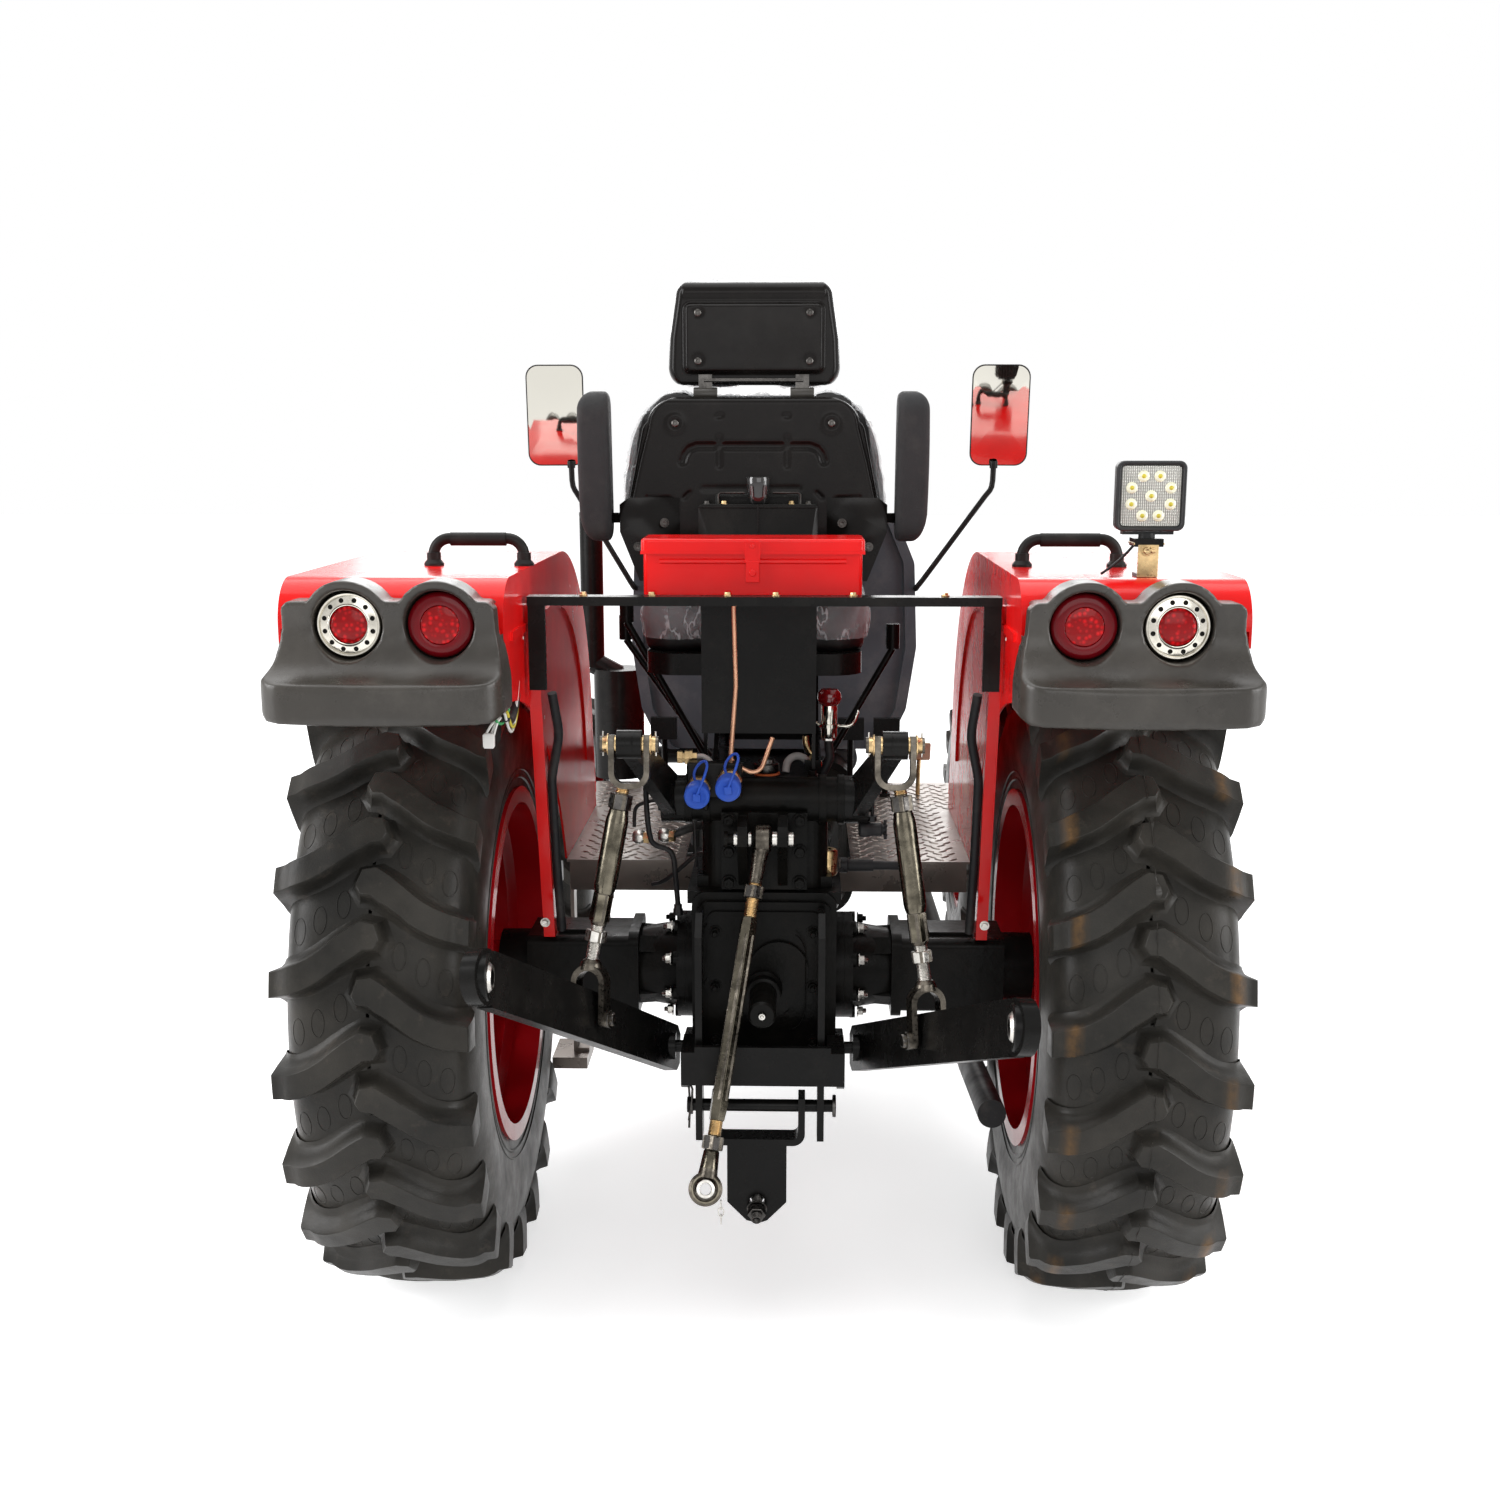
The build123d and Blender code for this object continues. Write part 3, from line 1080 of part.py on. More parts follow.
# Footplates with their step, on two cross bearers
with BuildPart() as footplates:
    for side, s in sides:
        extrude(outline(level(footplate_top - 5), (
            (s * footplate_in, 230), (s * (fender_in - fit), 230), (s * (fender_in - fit), fender_front),
            (s * 430, fender_front), (s * 430, footplate_front), (s * 200, footplate_front),
            (s * 200, bell_rear - 40), (s * footplate_in, 820),
        )), amount=5)
    block(-fender_in + 6, fender_in - 6, 240, 280, gearbox_top + fit, footplate_top - 5)
    for side, s in sides:
        block(s * (195 + fit), s * (fender_in - 6), bell_rear + 3, bell_rear + 37, 640, footplate_top - 5)
    # step below the left footplate
    block(-428, -420, 480, 520, 230, footplate_top - 5)
    block(-428, -394, 480, 520, 225, 233)
    block(-470, -394, 440, 560, 200, 225)
footplates.part.label = "footplates"
export_step(footplates.part, "parts/footplates.step")

# Levers and pedals
with BuildPart() as controls:
    for x, y, z, foot_x, foot_z in (
        (-285, 350, 1180, -70, gearbox_top), (-300, 480, 1130, -70, gearbox_top),
        (250, 420, 1120, 70, gearbox_top),
    ):
        pipe([at(foot_x, y, foot_z + fit), at(foot_x, y, foot_z + 150), at(x, y, z)], 60, 7)
        rod(at(x, y, z), at(x, y, z + 50), 14)
    for x in (-250, 180, 262):
        block(x - 12, x + 12, 848, 872, footplate_top + fit, footplate_top + 8)
        rod(at(x, 860, footplate_top + 5), at(x, 830, 870), 7)
        block(x - 30, x + 30, 815, 835, 860, 910)
controls.part.label = "levers_and_pedals"
export_step(controls.part, "parts/levers_and_pedals.step")

with BuildPart() as hook:
    y = -120 - fit - 4
    pipe([at(-36, y, 1262), at(-54, y, 1262), at(-50, y, 1120), at(-60, y, 985),
          at(-10, y, 960), at(14, y, 1030)], [6, 120, 20, 20], 4)
hook.part.label = "hook_rod"
export_step(hook.part, "parts/hook_rod.step")

# Air cleaner, exhaust
with BuildPart() as air_cleaner:
    rod(at(-402, 1300, 680), at(-402, 1300, 960), 64)
    rod(at(-402, 1300, 940), at(-467, 1300, 975), 28)
    rod(at(-467, 1300, 965), at(-467, 1300, 1355), 29)
    rod(at(-345, 1300, 735), at(-engine_half - fit, 1300, 735), 22)
air_cleaner.part.label = "air_cleaner"
export_step(air_cleaner.part, "parts/air_cleaner.step")

with BuildPart() as exhaust:
    pipe([at(engine_half + fit, 1190, 620), at(300, 1190, 620), at(415, 1000, 290), at(418, 300, 276),
          at(415, -120, 335)], [50, 100, 300], 26)
exhaust.part.label = "exhaust"
export_step(exhaust.part, "parts/exhaust.step")

# Front axle, knuckles and steering
kingpin_x = 480.0
beam_y = wheelbase
beam_bottom = 345.0
beam_top = 455.0
beam_half = 55.0
knuckle_gap = 0.5
trunnion = 98.0
with BuildPart() as front_axle:
    extrude(outline(across(beam_y + beam_half), (
        (-kingpin_x + 50, beam_top), (-300, beam_top - 8), (-150, 440), (-96, 480), (96, 480), (150, 440),
        (300, beam_top - 8), (kingpin_x - 50, beam_top), (kingpin_x - 50, beam_bottom), (150, 352),
        (96, 322), (-96, 322), (-150, 352), (-kingpin_x + 50, beam_bottom),
    )), amount=2 * beam_half)
    rod(at(0, beam_y - beam_half - 22, front_z), at(0, beam_y, front_z), 78)
    with BuildSketch(along(-90)) as bowl:
        with Locations((beam_y, front_z)):
            Circle(88)
    extrude(bowl.sketch, amount=180)
    rod(at(0, beam_y - trunnion, front_z), at(0, beam_y + trunnion, front_z), 40)
    for side, s in sides:
        rod(at(s * kingpin_x, beam_y, beam_bottom), at(s * kingpin_x, beam_y, beam_top), 58)
        rod(at(s * kingpin_x, beam_y, beam_bottom - 60), at(s * kingpin_x, beam_y, beam_top + 60), 18)
front_axle.part.label = "front_axle_beam"
export_step(front_axle.part, "parts/front_axle_beam.step")

arm_back = 200.0
arm_z = 345.0
for side, s in sides:
    with BuildPart() as knuckle:
        for z0, z1 in ((beam_bottom - 62, beam_bottom - knuckle_gap), (beam_top + knuckle_gap, beam_top + 62)):
            rod(at(s * kingpin_x, beam_y, z0), at(s * kingpin_x, beam_y, z1), 55)
            block(s * kingpin_x, s * (kingpin_x + 75), beam_y - 50, beam_y + 50, z0, z1)
        block(s * (kingpin_x + 63), s * (kingpin_x + 75), beam_y - 50, beam_y + 50, beam_bottom - 62, beam_top + 62)
        rod(at(s * (kingpin_x + 70), beam_y, front_z), at(s * (front_hub_end - fit), beam_y, front_z), 60)
        rod(at(s * kingpin_x, beam_y, beam_bottom - 63), at(s * kingpin_x, beam_y, beam_top + 63),
            18 + pin_fit, mode=Mode.SUBTRACT)
        # steering arm, pointing back from the knuckle's side plate
        arm_root = at(s * (kingpin_x + 72), beam_y - 38, arm_z)
        arm_end = at(s * kingpin_x, beam_y - arm_back, arm_z)
        with BuildSketch(Plane(origin=(arm_root + arm_end) / 2, x_dir=arm_end - arm_root)) as arm:
            SlotCenterToCenter((arm_end - arm_root).length, 36)
        extrude(arm.sketch, amount=16)
    knuckle.part.label = f"knuckle_{side}"
    export_step(knuckle.part, f"parts/knuckle_{side}.step")

with BuildPart() as tie_rod:
    tie_z = arm_z + 16 + fit + 14
    rod(at(-kingpin_x, beam_y - arm_back, tie_z), at(kingpin_x, beam_y - arm_back, tie_z), 12)
    for side, s in sides:
        rod(at(s * kingpin_x, beam_y - arm_back, tie_z - 14), at(s * kingpin_x, beam_y - arm_back, tie_z + 14), 17)
tie_rod.part.label = "tie_rod"
export_step(tie_rod.part, "parts/tie_rod.step")

support_top = 640.0
radiator_rear = 1790.0
weight_front = wheelbase + front_overhang
with BuildPart() as support:
    block(-140, 140, radiator_rear, 2290, 520, support_top)
    for s in (-1, 1):
        block(s * 106, s * 140, engine_front + fit, radiator_rear, 520, support_top)
    for y in (beam_y - trunnion - fit - 40, beam_y + trunnion + fit):
        block(-70, 70, y, y + 40, front_z - 50, 520)
    block(-190, 190, 2290, 2330, 480, 620)
    block(-205, 205, radiator_rear, radiator_rear + 60, support_top, 950)
    for x in (-140, 112):
        block(x, x + 28, 2180, 2290, support_top, 668)
support.part.label = "front_support"
export_step(support.part, "parts/front_support.step")

weight_count = 6
weight_pitch = 60.0
with BuildPart() as weights:
    for k in range(weight_count):
        x = (k - (weight_count - 1) / 2) * weight_pitch
        extrude(outline(along(x - weight_pitch / 2 + 2), (
            (2330 + fit, 420), (weight_front - 40, 400), (weight_front, 440), (weight_front, 640),
            (weight_front - 50, 690), (2300, 690), (2300, 650), (2315, 620 + fit), (2330 + fit, 620 + fit),
        )), amount=weight_pitch - 4)
    with BuildSketch(along(-weight_count * weight_pitch / 2)) as grip:
        with Locations((2430, 640)):
            SlotOverall(110, 34)
    extrude(grip.sketch, amount=weight_count * weight_pitch, mode=Mode.SUBTRACT)
weights.part.label = "front_weights"
export_step(weights.part, "parts/front_weights.step")

# Hood: a pressed shell open below, its nose narrower and lower
hood_rear = dash_front + hood_gap
hood_front = 2335.0
# station, half width, bottom, top
hood_sections = (
    (hood_rear, 300.0, 790.0, 1375.0), (1700.0, 293.0, 748.0, 1342.0),
    (2130.0, 268.0, 728.0, 1268.0), (hood_front, 234.0, 735.0, 1150.0),
)
with BuildPart() as hood:
    for wall, mode in ((0.0, Mode.ADD), (sheet, Mode.SUBTRACT)):
        faces = []
        for k, (y, half, bottom, top) in enumerate(hood_sections):
            low = bottom - wall * 5
            # the hollow runs out of both ends
            station = y + (wall if k == len(hood_sections) - 1 else -wall if k == 0 else 0)
            with BuildSketch(across(station)) as section:
                with BuildLine():
                    Polyline((half - wall, top - 100), (half - wall, low), (-half + wall, low),
                             (-half + wall, top - 100))
                    ThreePointArc((-half + wall, top - 100), (-half + 34 + wall * 0.7, top - 34 - wall * 0.7),
                                  (-half + 100, top - wall))
                    Line((-half + 100, top - wall), (half - 100, top - wall))
                    ThreePointArc((half - 100, top - wall), (half - 34 - wall * 0.7, top - 34 - wall * 0.7),
                                  (half - wall, top - 100))
                make_face()
            faces.append(section.sketch)
        loft(faces, mode=mode)
    # louvres in both sides
    with BuildSketch(along(-350)) as louvres:
        for k in range(7):
            with Locations((1380 + 46 * k, 900)):
                SlotOverall(150, 16, rotation=78)
    extrude(louvres.sketch, amount=700, mode=Mode.SUBTRACT)
    for s in (-1, 1):
        block(s * (180 + fit), s * 200, hood_hinge_y - 12, hood_hinge_y + 12, hood_hinge_z - 12, hood_hinge_z + 21)
        rod(at(s * 179, hood_hinge_y, hood_hinge_z), at(s * 205, hood_hinge_y, hood_hinge_z),
            9 + pin_fit, mode=Mode.SUBTRACT)
hood.part.label = "hood"
export_step(hood.part, "parts/hood.step")

nose_half = 226.0
nose_bottom = 742.0
nose_top = 1142.0
headlight_x = 128.0
headlight_z = 1050.0
headlight_size = (150.0, 84.0)
with BuildPart() as grille:
    nose_middle = (nose_bottom + nose_top) / 2
    with BuildSketch(across(hood_front + fit)) as nose:
        with Locations((0, nose_middle)):
            RectangleRounded(2 * nose_half, nose_top - nose_bottom, 86)
    extrude(nose.sketch, amount=-20)
    fillet(grille.faces().sort_by(Axis.Y)[-1].edges(), 6)
    with BuildSketch(across(hood_front + fit - 1)) as slots:
        for k in range(9):
            with Locations((0, nose_bottom + 44 + 24 * k)):
                SlotOverall(330, 13)
    extrude(slots.sketch, amount=-24, mode=Mode.SUBTRACT)
    with BuildSketch(across(hood_front + fit + 6)) as lamps:
        with Locations((-headlight_x, headlight_z), (headlight_x, headlight_z)):
            RectangleRounded(*headlight_size, 26)
    extrude(lamps.sketch, amount=-24, mode=Mode.SUBTRACT)
grille.part.label = "grille"
export_step(grille.part, "parts/grille.step")

with BuildPart() as headlights:
    with BuildSketch(across(hood_front + 2 * fit + 6)) as lenses:
        with Locations((-headlight_x, headlight_z), (headlight_x, headlight_z)):
            RectangleRounded(headlight_size[0] - 2 * fit, headlight_size[1] - 2 * fit, 26 - fit)
    extrude(lenses.sketch, amount=-11)
    fillet(headlights.faces().sort_by(Axis.Y)[-2:].edges(), 4)
headlights.part.label = "headlights"
export_step(headlights.part, "parts/headlights.step")

with BuildPart() as conduits:
    for side, s in sides:
        x = fender_in - strut_width - 8 - fit
        pipe([at(s * (x - 10), -182, 1115), at(s * (x - 18), -160, 1040), at(s * x, -140, 960),
              at(s * x, -105, 800), at(s * (x - 2), -72, 664)], [120, 120, 250], 8)
conduits.part.label = "conduits"
export_step(conduits.part, "parts/conduits.step")
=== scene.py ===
import json
import random
from contextlib import contextmanager
from math import cos, hypot, pi, radians, sin, sqrt
import bmesh
import bpy
from mathutils import Matrix, Vector, noise


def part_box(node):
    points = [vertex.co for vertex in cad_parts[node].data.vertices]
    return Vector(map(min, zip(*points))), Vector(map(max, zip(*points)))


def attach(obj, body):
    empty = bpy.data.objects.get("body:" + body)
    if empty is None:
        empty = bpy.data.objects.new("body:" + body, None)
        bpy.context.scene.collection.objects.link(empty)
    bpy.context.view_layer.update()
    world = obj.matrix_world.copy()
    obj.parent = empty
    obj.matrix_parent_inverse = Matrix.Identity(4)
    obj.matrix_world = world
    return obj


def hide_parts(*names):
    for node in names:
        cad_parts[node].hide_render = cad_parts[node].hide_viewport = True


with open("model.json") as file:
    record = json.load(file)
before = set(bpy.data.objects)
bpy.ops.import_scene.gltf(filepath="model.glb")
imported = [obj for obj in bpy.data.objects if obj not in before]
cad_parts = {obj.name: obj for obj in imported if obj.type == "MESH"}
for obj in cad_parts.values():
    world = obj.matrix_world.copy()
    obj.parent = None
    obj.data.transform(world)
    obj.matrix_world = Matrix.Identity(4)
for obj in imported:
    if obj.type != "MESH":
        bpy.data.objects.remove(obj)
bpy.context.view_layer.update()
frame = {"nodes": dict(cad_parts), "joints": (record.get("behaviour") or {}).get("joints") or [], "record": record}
nodes = frame["nodes"]
joints = {j["name"]: j for j in frame["joints"]}
slot_of = {p["node"]: p["material_slot"] for p in frame["record"]["subparts"]}
scene = bpy.context.scene
dice = random.Random(7)
SIDES = (("left", -1), ("right", 1))
RIGHT, UP, BACK = Vector((1, 0, 0)), Vector((0, 0, 1)), Vector((0, -1, 0))
MAT = {}


def joint_at(name):
    return Vector(joints[name]["pos_m"])


REAR_Y = joint_at("rear_wheel_left_spin").y


def pt(x, y, z):
    """Point in millimetres, y counted from the rear axle, as a position in metres."""
    return Vector((x / 1000, REAR_Y + y / 1000, z / 1000))


# ---------------------------------------------------------------- materials

def put(node, **values):
    """Set a node's input sockets by name, with an underscore for a space."""
    for socket, value in values.items():
        node.inputs[socket.replace("_", " ")].default_value = value
    return node


def principled(name, color, rough, metallic=0.0, coat=0.0, specular=0.5):
    """New material under its name, with its plain values on the shader's sockets."""
    mat = MAT[name] = bpy.data.materials.new(name)
    mat.use_nodes = True
    shader = put(mat.node_tree.nodes["Principled BSDF"], Base_Color=(*color, 1), Roughness=rough, Metallic=metallic,
                 Coat_Weight=coat, Coat_Roughness=0.08, Specular_IOR_Level=specular)
    return shader, Nodes(mat)


class Nodes:
    """Short names for the shader nodes that materials, the world and the floor share."""

    def __init__(self, owner):
        self.tree = owner.node_tree
        self.where = self.new("ShaderNodeTexCoord").outputs["Object"]

    def new(self, kind, **values):
        return put(self.tree.nodes.new(kind), **values)

    def feed(self, value, socket):
        """Link a socket to another one, or give it a plain number or colour."""
        if isinstance(value, (int, float)):
            socket.default_value = value
        elif isinstance(value, tuple):
            socket.default_value = (*value, 1)
        else:
            self.tree.links.new(value, socket)

    def noise(self, scale, detail=6.0, rough=0.55, stretch=None):
        source = self.where
        if stretch:
            mapping = self.new("ShaderNodeMapping", Scale=stretch)
            self.feed(self.where, mapping.inputs["Vector"])
            source = mapping.outputs["Vector"]
        tex = self.new("ShaderNodeTexNoise", Scale=scale, Detail=detail, Roughness=rough)
        self.feed(source, tex.inputs["Vector"])
        return tex.outputs["Fac"]

    def cells(self, scale, randomness=1.0):
        tex = self.new("ShaderNodeTexVoronoi", Scale=scale, Randomness=randomness)
        self.feed(self.where, tex.inputs["Vector"])
        return tex.outputs["Distance"]

    def waves(self, axis, scale):
        tex = self.new("ShaderNodeTexWave", Scale=scale)
        tex.bands_direction = axis
        self.feed(self.where, tex.inputs["Vector"])
        return tex.outputs["Fac"]

    def remap(self, value, low, high, to_low=0.0, to_high=1.0, kind="LINEAR"):
        node = self.new("ShaderNodeMapRange", From_Min=low, From_Max=high, To_Min=to_low, To_Max=to_high)
        node.interpolation_type = kind
        self.feed(value, node.inputs["Value"])
        return node.outputs["Result"]

    def mix(self, factor, a, b):
        node = self.new("ShaderNodeMix")
        node.data_type = "RGBA"
        for value, socket in ((factor, 0), (a, 6), (b, 7)):
            self.feed(value, node.inputs[socket])
        return node.outputs[2]

    def math(self, kind, a, b=0.0):
        node = self.new("ShaderNodeMath")
        node.operation = kind
        self.feed(a, node.inputs[0])
        self.feed(b, node.inputs[1])
        return node.outputs[0]

    def bump(self, height, distance, strength=1.0, normal=None):
        node = self.new("ShaderNodeBump", Distance=distance, Strength=strength)
        self.feed(height, node.inputs["Height"])
        if normal is not None:
            self.feed(normal, node.inputs["Normal"])
        return node.outputs["Normal"]

    def seen(self):
        """1 for rays from the camera, in a mirror or through glass, and 0 for the light that falls on things."""
        rays = self.new("ShaderNodeLightPath").outputs
        return self.math("MAXIMUM", rays["Is Camera Ray"],
                         self.math("MAXIMUM", rays["Is Glossy Ray"], rays["Is Transmission Ray"]))


def shade(c, k):
    return tuple(min(1.0, v * k) for v in c)


DUST = (0.35, 0.32, 0.28)
GRAIN_CELLS = 900
PEEL_DEPTH = 0.0006


def painted(name, color, rough=0.3, coat=0.0, peel=0.15, grain=0.0, dust=0.25, metallic=0.0,
            dust_color=DUST, cast=0.0, specular=0.2):
    """Paint or plastic: shade drift, uneven gloss, orange peel, fine grain and a light film of dust."""
    shader, n = principled(name, color, rough, metallic, coat, specular)
    drift = n.remap(n.noise(3.5, 3), 0.35, 0.65)
    base = n.mix(drift, shade(color, 0.86), shade(color, 1.12))
    if dust:
        base = n.mix(n.math("MULTIPLY", n.remap(n.noise(9, 8, 0.7), 0.48, 0.8), dust), base, dust_color)
    n.feed(base, shader.inputs["Base Color"])
    gloss = n.remap(n.noise(14, 6, 0.65), 0.3, 0.75, max(0.04, rough * 0.75), min(1.0, rough * 1.4))
    n.feed(gloss, shader.inputs["Roughness"])
    normal = None
    if cast:
        normal = n.bump(n.noise(55, 4, 0.6), cast, 0.7)
    if grain:
        normal = n.bump(n.cells(GRAIN_CELLS), grain, 0.5, normal)
    if peel:
        normal = n.bump(n.noise(160, 2, 0.4), PEEL_DEPTH * peel, 0.6, normal)
    if normal is not None:
        n.feed(normal, shader.inputs["Normal"])


def metal(name, color, rough, scratch=0.35, dark=0.6):
    """Bare or plated steel: cloudy tint, brushed gloss and fine pits."""
    shader, n = principled(name, color, rough, 1.0)
    cloud = n.remap(n.noise(40, 5, 0.6), 0.35, 0.7)
    n.feed(n.mix(cloud, shade(color, dark), shade(color, 1.1)), shader.inputs["Base Color"])
    brush = n.noise(220, 3, 0.5)
    n.feed(n.remap(brush, 0.3, 0.7, rough * 0.7, min(1, rough * 1.5)), shader.inputs["Roughness"])
    n.feed(n.bump(brush, 0.0002, scratch), shader.inputs["Normal"])


def rubber(name):
    """Tyre rubber: satin, cloudy bloom, fine pitting, and brown stains where the mesh marks them."""
    shader, n = principled(name, (0.022, 0.021, 0.02), 0.42, specular=0.14)
    bloom = n.remap(n.noise(7, 6, 0.6), 0.35, 0.75)
    base = n.mix(bloom, (0.015, 0.0142, 0.0125), (0.042, 0.038, 0.032))
    streak = n.remap(n.noise(26, 5, 0.7), 0.58, 0.8)
    base = n.mix(n.math("MULTIPLY", streak, 0.5), base, (0.085, 0.07, 0.056))
    mark = n.new("ShaderNodeAttribute")
    mark.attribute_name = "stain"
    patch = n.math("MULTIPLY", mark.outputs["Fac"], n.remap(n.noise(60, 4, 0.6), 0.2, 0.6))
    n.feed(n.mix(patch, base, (0.16, 0.085, 0.03)), shader.inputs["Base Color"])
    n.feed(n.remap(n.noise(18, 6, 0.7), 0.3, 0.75, 0.27, 0.5), shader.inputs["Roughness"])
    n.feed(n.bump(n.noise(330, 4, 0.6), 0.0006, 0.5, n.bump(n.noise(35, 4, 0.5), 0.002, 0.25)),
           shader.inputs["Normal"])


def lens(name, color, ring_scale):
    """Clear coloured plastic over a faceted reflector, whose light and shade are painted into its colour: each facet
    lighter in its middle and darker towards its edges.
    """
    shader, n = principled(name, color, 0.08, 0.0, 0.1, 0.12)
    facets = n.cells(ring_scale, randomness=0.55)
    # painted reflection: each facet lighter in its middle and darker towards its edges
    n.feed(n.mix(n.remap(facets, 0.0, 0.5), shade(color, 1.35), shade(color, 0.4)), shader.inputs["Base Color"])
    n.feed(n.bump(facets, 0.001, 0.5), shader.inputs["Normal"])


def ribbed(name):
    """Clear cover moulded with fine upright ribs, over a grey reflector, with painted highlights: its colour runs
    from dark grey to light grey along the ribs.
    """
    shader, n = principled(name, (0.30, 0.30, 0.28), 0.15, 0.0, 0.6)
    ribs_and_glints = n.math("MULTIPLY", n.waves("X", 95), n.remap(n.waves("Z", 70), 0, 1, 0.55, 1.0))
    # painted highlights along the ribs, light grey on dark grey
    n.feed(n.mix(ribs_and_glints, (0.24, 0.235, 0.21), (0.72, 0.70, 0.63)), shader.inputs["Base Color"])
    n.feed(n.bump(ribs_and_glints, 0.0008, 0.8), shader.inputs["Normal"])


def film(name):
    """Clear wrapping film, drawn as a thin white veil: painted glints as whiter lines along its creases, over an
    uneven white haze that is partly the film's own milkiness and partly painted sheen.
    """
    shader, n = principled(name, (0.92, 0.94, 0.96), 0.12, specular=0.9)
    folds = n.math("ABSOLUTE", n.math("SUBTRACT", n.noise(15, 4, 0.55, (1, 0.55, 0.4)), 0.5))
    # painted glints: whiter, more opaque lines along the creases
    crease_glint = n.math("MULTIPLY", n.remap(folds, 0.0, 0.014, 1.0, 0.0), 0.38)
    # uneven white haze, partly the film's own milkiness and partly painted sheen
    cloud = n.remap(n.noise(8, 3, 0.5), 0.3, 0.7, 0.07, 0.30)
    n.feed(n.math("ADD", crease_glint, cloud), shader.inputs["Alpha"])
    n.feed(n.bump(n.noise(110, 5, 0.6, (1, 0.45, 0.8)), 0.004, 0.8), shader.inputs["Normal"])


painted("cast_black", (0.0048, 0.0046, 0.0040), cast=0.0012, dust=0.1, dust_color=(0.08, 0.06, 0.045),
        specular=0.07)
painted("engine_grey", (0.035, 0.035, 0.038), 0.4, cast=0.001, dust=0.3)
painted("painted_black", (0.0065, 0.0062, 0.0058), 0.25, dust=0.03, specular=0.1)
painted("copper_wire", (0.66, 0.36, 0.22), metallic=0.55, dust=0.0, specular=0.5)
painted("cap_blue", (0.03, 0.10, 0.52), 0.45, dust=0.15)
painted("red_paint", (0.76, 0.006, 0.006), 0.2, coat=0.15, dust=0.02, specular=0.15)
# a darker copy of red_paint: painted shade on the wheel rims
painted("shaded_red", (0.40, 0.004, 0.008), 0.2, coat=0.15, dust=0.02, specular=0.15)
painted("dark_red", (0.20, 0.006, 0.008), 0.12, coat=0.8, peel=0.0, dust=0.04)
painted("pod_plastic", (0.036, 0.032, 0.027), grain=0.0002, dust=0.1, specular=0.34)
painted("black_plastic", (0.012, 0.0115, 0.011), 0.4, grain=0.0002, dust=0.06, specular=0.12)
painted("dash_plastic", (0.05, 0.056, 0.064), 0.4, grain=0.0002, dust=0.15)
painted("gloss_black", (0.012, 0.012, 0.012), 0.1, coat=0.8, peel=0.0, dust=0.03)
painted("lamp_black", (0.022, 0.022, 0.023), 0.4, cast=0.0004, dust=0.1)
painted("lamp_dark_red", (0.17, 0.002, 0.006), 0.1, coat=0.12, peel=0.0, dust=0.0, specular=0.12)
painted("seat_shell", (0.0055, 0.0045, 0.004), 0.24, dust=0.02, specular=0.12)
painted("seat_vinyl", (0.010, 0.0095, 0.0095), 0.4, grain=0.0006, dust=0.05)
painted("foam_skin", (0.024, 0.024, 0.025), 0.6, grain=0.0012, dust=0.08)
painted("tread_plate", (0.20, 0.17, 0.15), metallic=0.7, dust=0.15)
painted("exhaust_steel", (0.02, 0.02, 0.021), 0.45, dust=0.2)
painted("conduit_rubber", (0.015, 0.015, 0.016), 0.5, dust=0.15)
painted("wire_green", (0.05, 0.30, 0.10), 0.4, dust=0.1)
painted("wire_yellow", (0.62, 0.52, 0.06), 0.4, dust=0.1)
painted("wire_white", (0.72, 0.71, 0.68), 0.4, dust=0.15)
painted("hose_grey", (0.42, 0.40, 0.38), 0.4, dust=0.2)
painted("orange_seal", (0.55, 0.12, 0.03), 0.5, dust=0.2)
painted("tan_card", (0.62, 0.50, 0.36), 0.5, dust=0.2)
metal("zinc_dark", (0.13, 0.115, 0.095), 0.3, 0.3, 0.35)
metal("zinc_gold", (0.66, 0.47, 0.24), 0.3, 0.2, 0.55)
metal("zinc_bright", (0.62, 0.60, 0.56), 0.3)
metal("dark_metal", (0.09, 0.085, 0.08), 0.3, 0.3, 0.5)
metal("oiled_steel", (0.14, 0.125, 0.095), 0.2, 0.08, 0.4)
metal("chrome", (0.60, 0.57, 0.50), 0.14, 0.1, 0.75)
lens("lamp_red", (0.74, 0.008, 0.012), 115)
lens("lamp_clear", (0.6, 0.62, 0.64), 180)
principled("mirror_glass", (0.60, 0.58, 0.52), 0.03, 1.0)
principled("led", (0.85, 0.83, 0.62), 0.1, 0.0, 1.0)
ribbed("led_lens")
rubber("tyre")
film("film")
for node, obj in nodes.items():
    obj.data.materials.clear()
    obj.data.materials.append(MAT[slot_of[node]])
    obj.data.set_sharp_from_angle(angle=radians(32))


# ---------------------------------------------------------------- mesh helpers

def linked(name, data):
    """Object of this data, in the scene."""
    obj = bpy.data.objects.new(name, data)
    scene.collection.objects.link(obj)
    return obj


def modify(obj, kind, **settings):
    mod = obj.modifiers.new(kind.lower(), kind)
    for key, value in settings.items():
        setattr(mod, key, value)
    return mod


def add_piece(name, mesh, body, mats, replaces=(), bevel=0.0, angle=32):
    """Link a mesh as a piece of the object, riding on a body."""
    obj = linked(name, mesh)
    for key in mats:
        mesh.materials.append(MAT[key])
    mesh.shade_smooth()
    mesh.set_sharp_from_angle(angle=radians(angle))
    if bevel:
        modify(obj, "BEVEL", width=bevel, segments=2, limit_method="ANGLE", angle_limit=radians(40),
               harden_normals=True)
    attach(obj, body)
    if replaces:
        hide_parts(*replaces)
    return obj


def mesh_of(name, verts, faces, material_index=None):
    mesh = bpy.data.meshes.new(name)
    mesh.from_pydata([tuple(v) for v in verts], [], faces)
    if material_index:
        mesh.polygons.foreach_set("material_index", material_index)
    mesh.update()
    return mesh


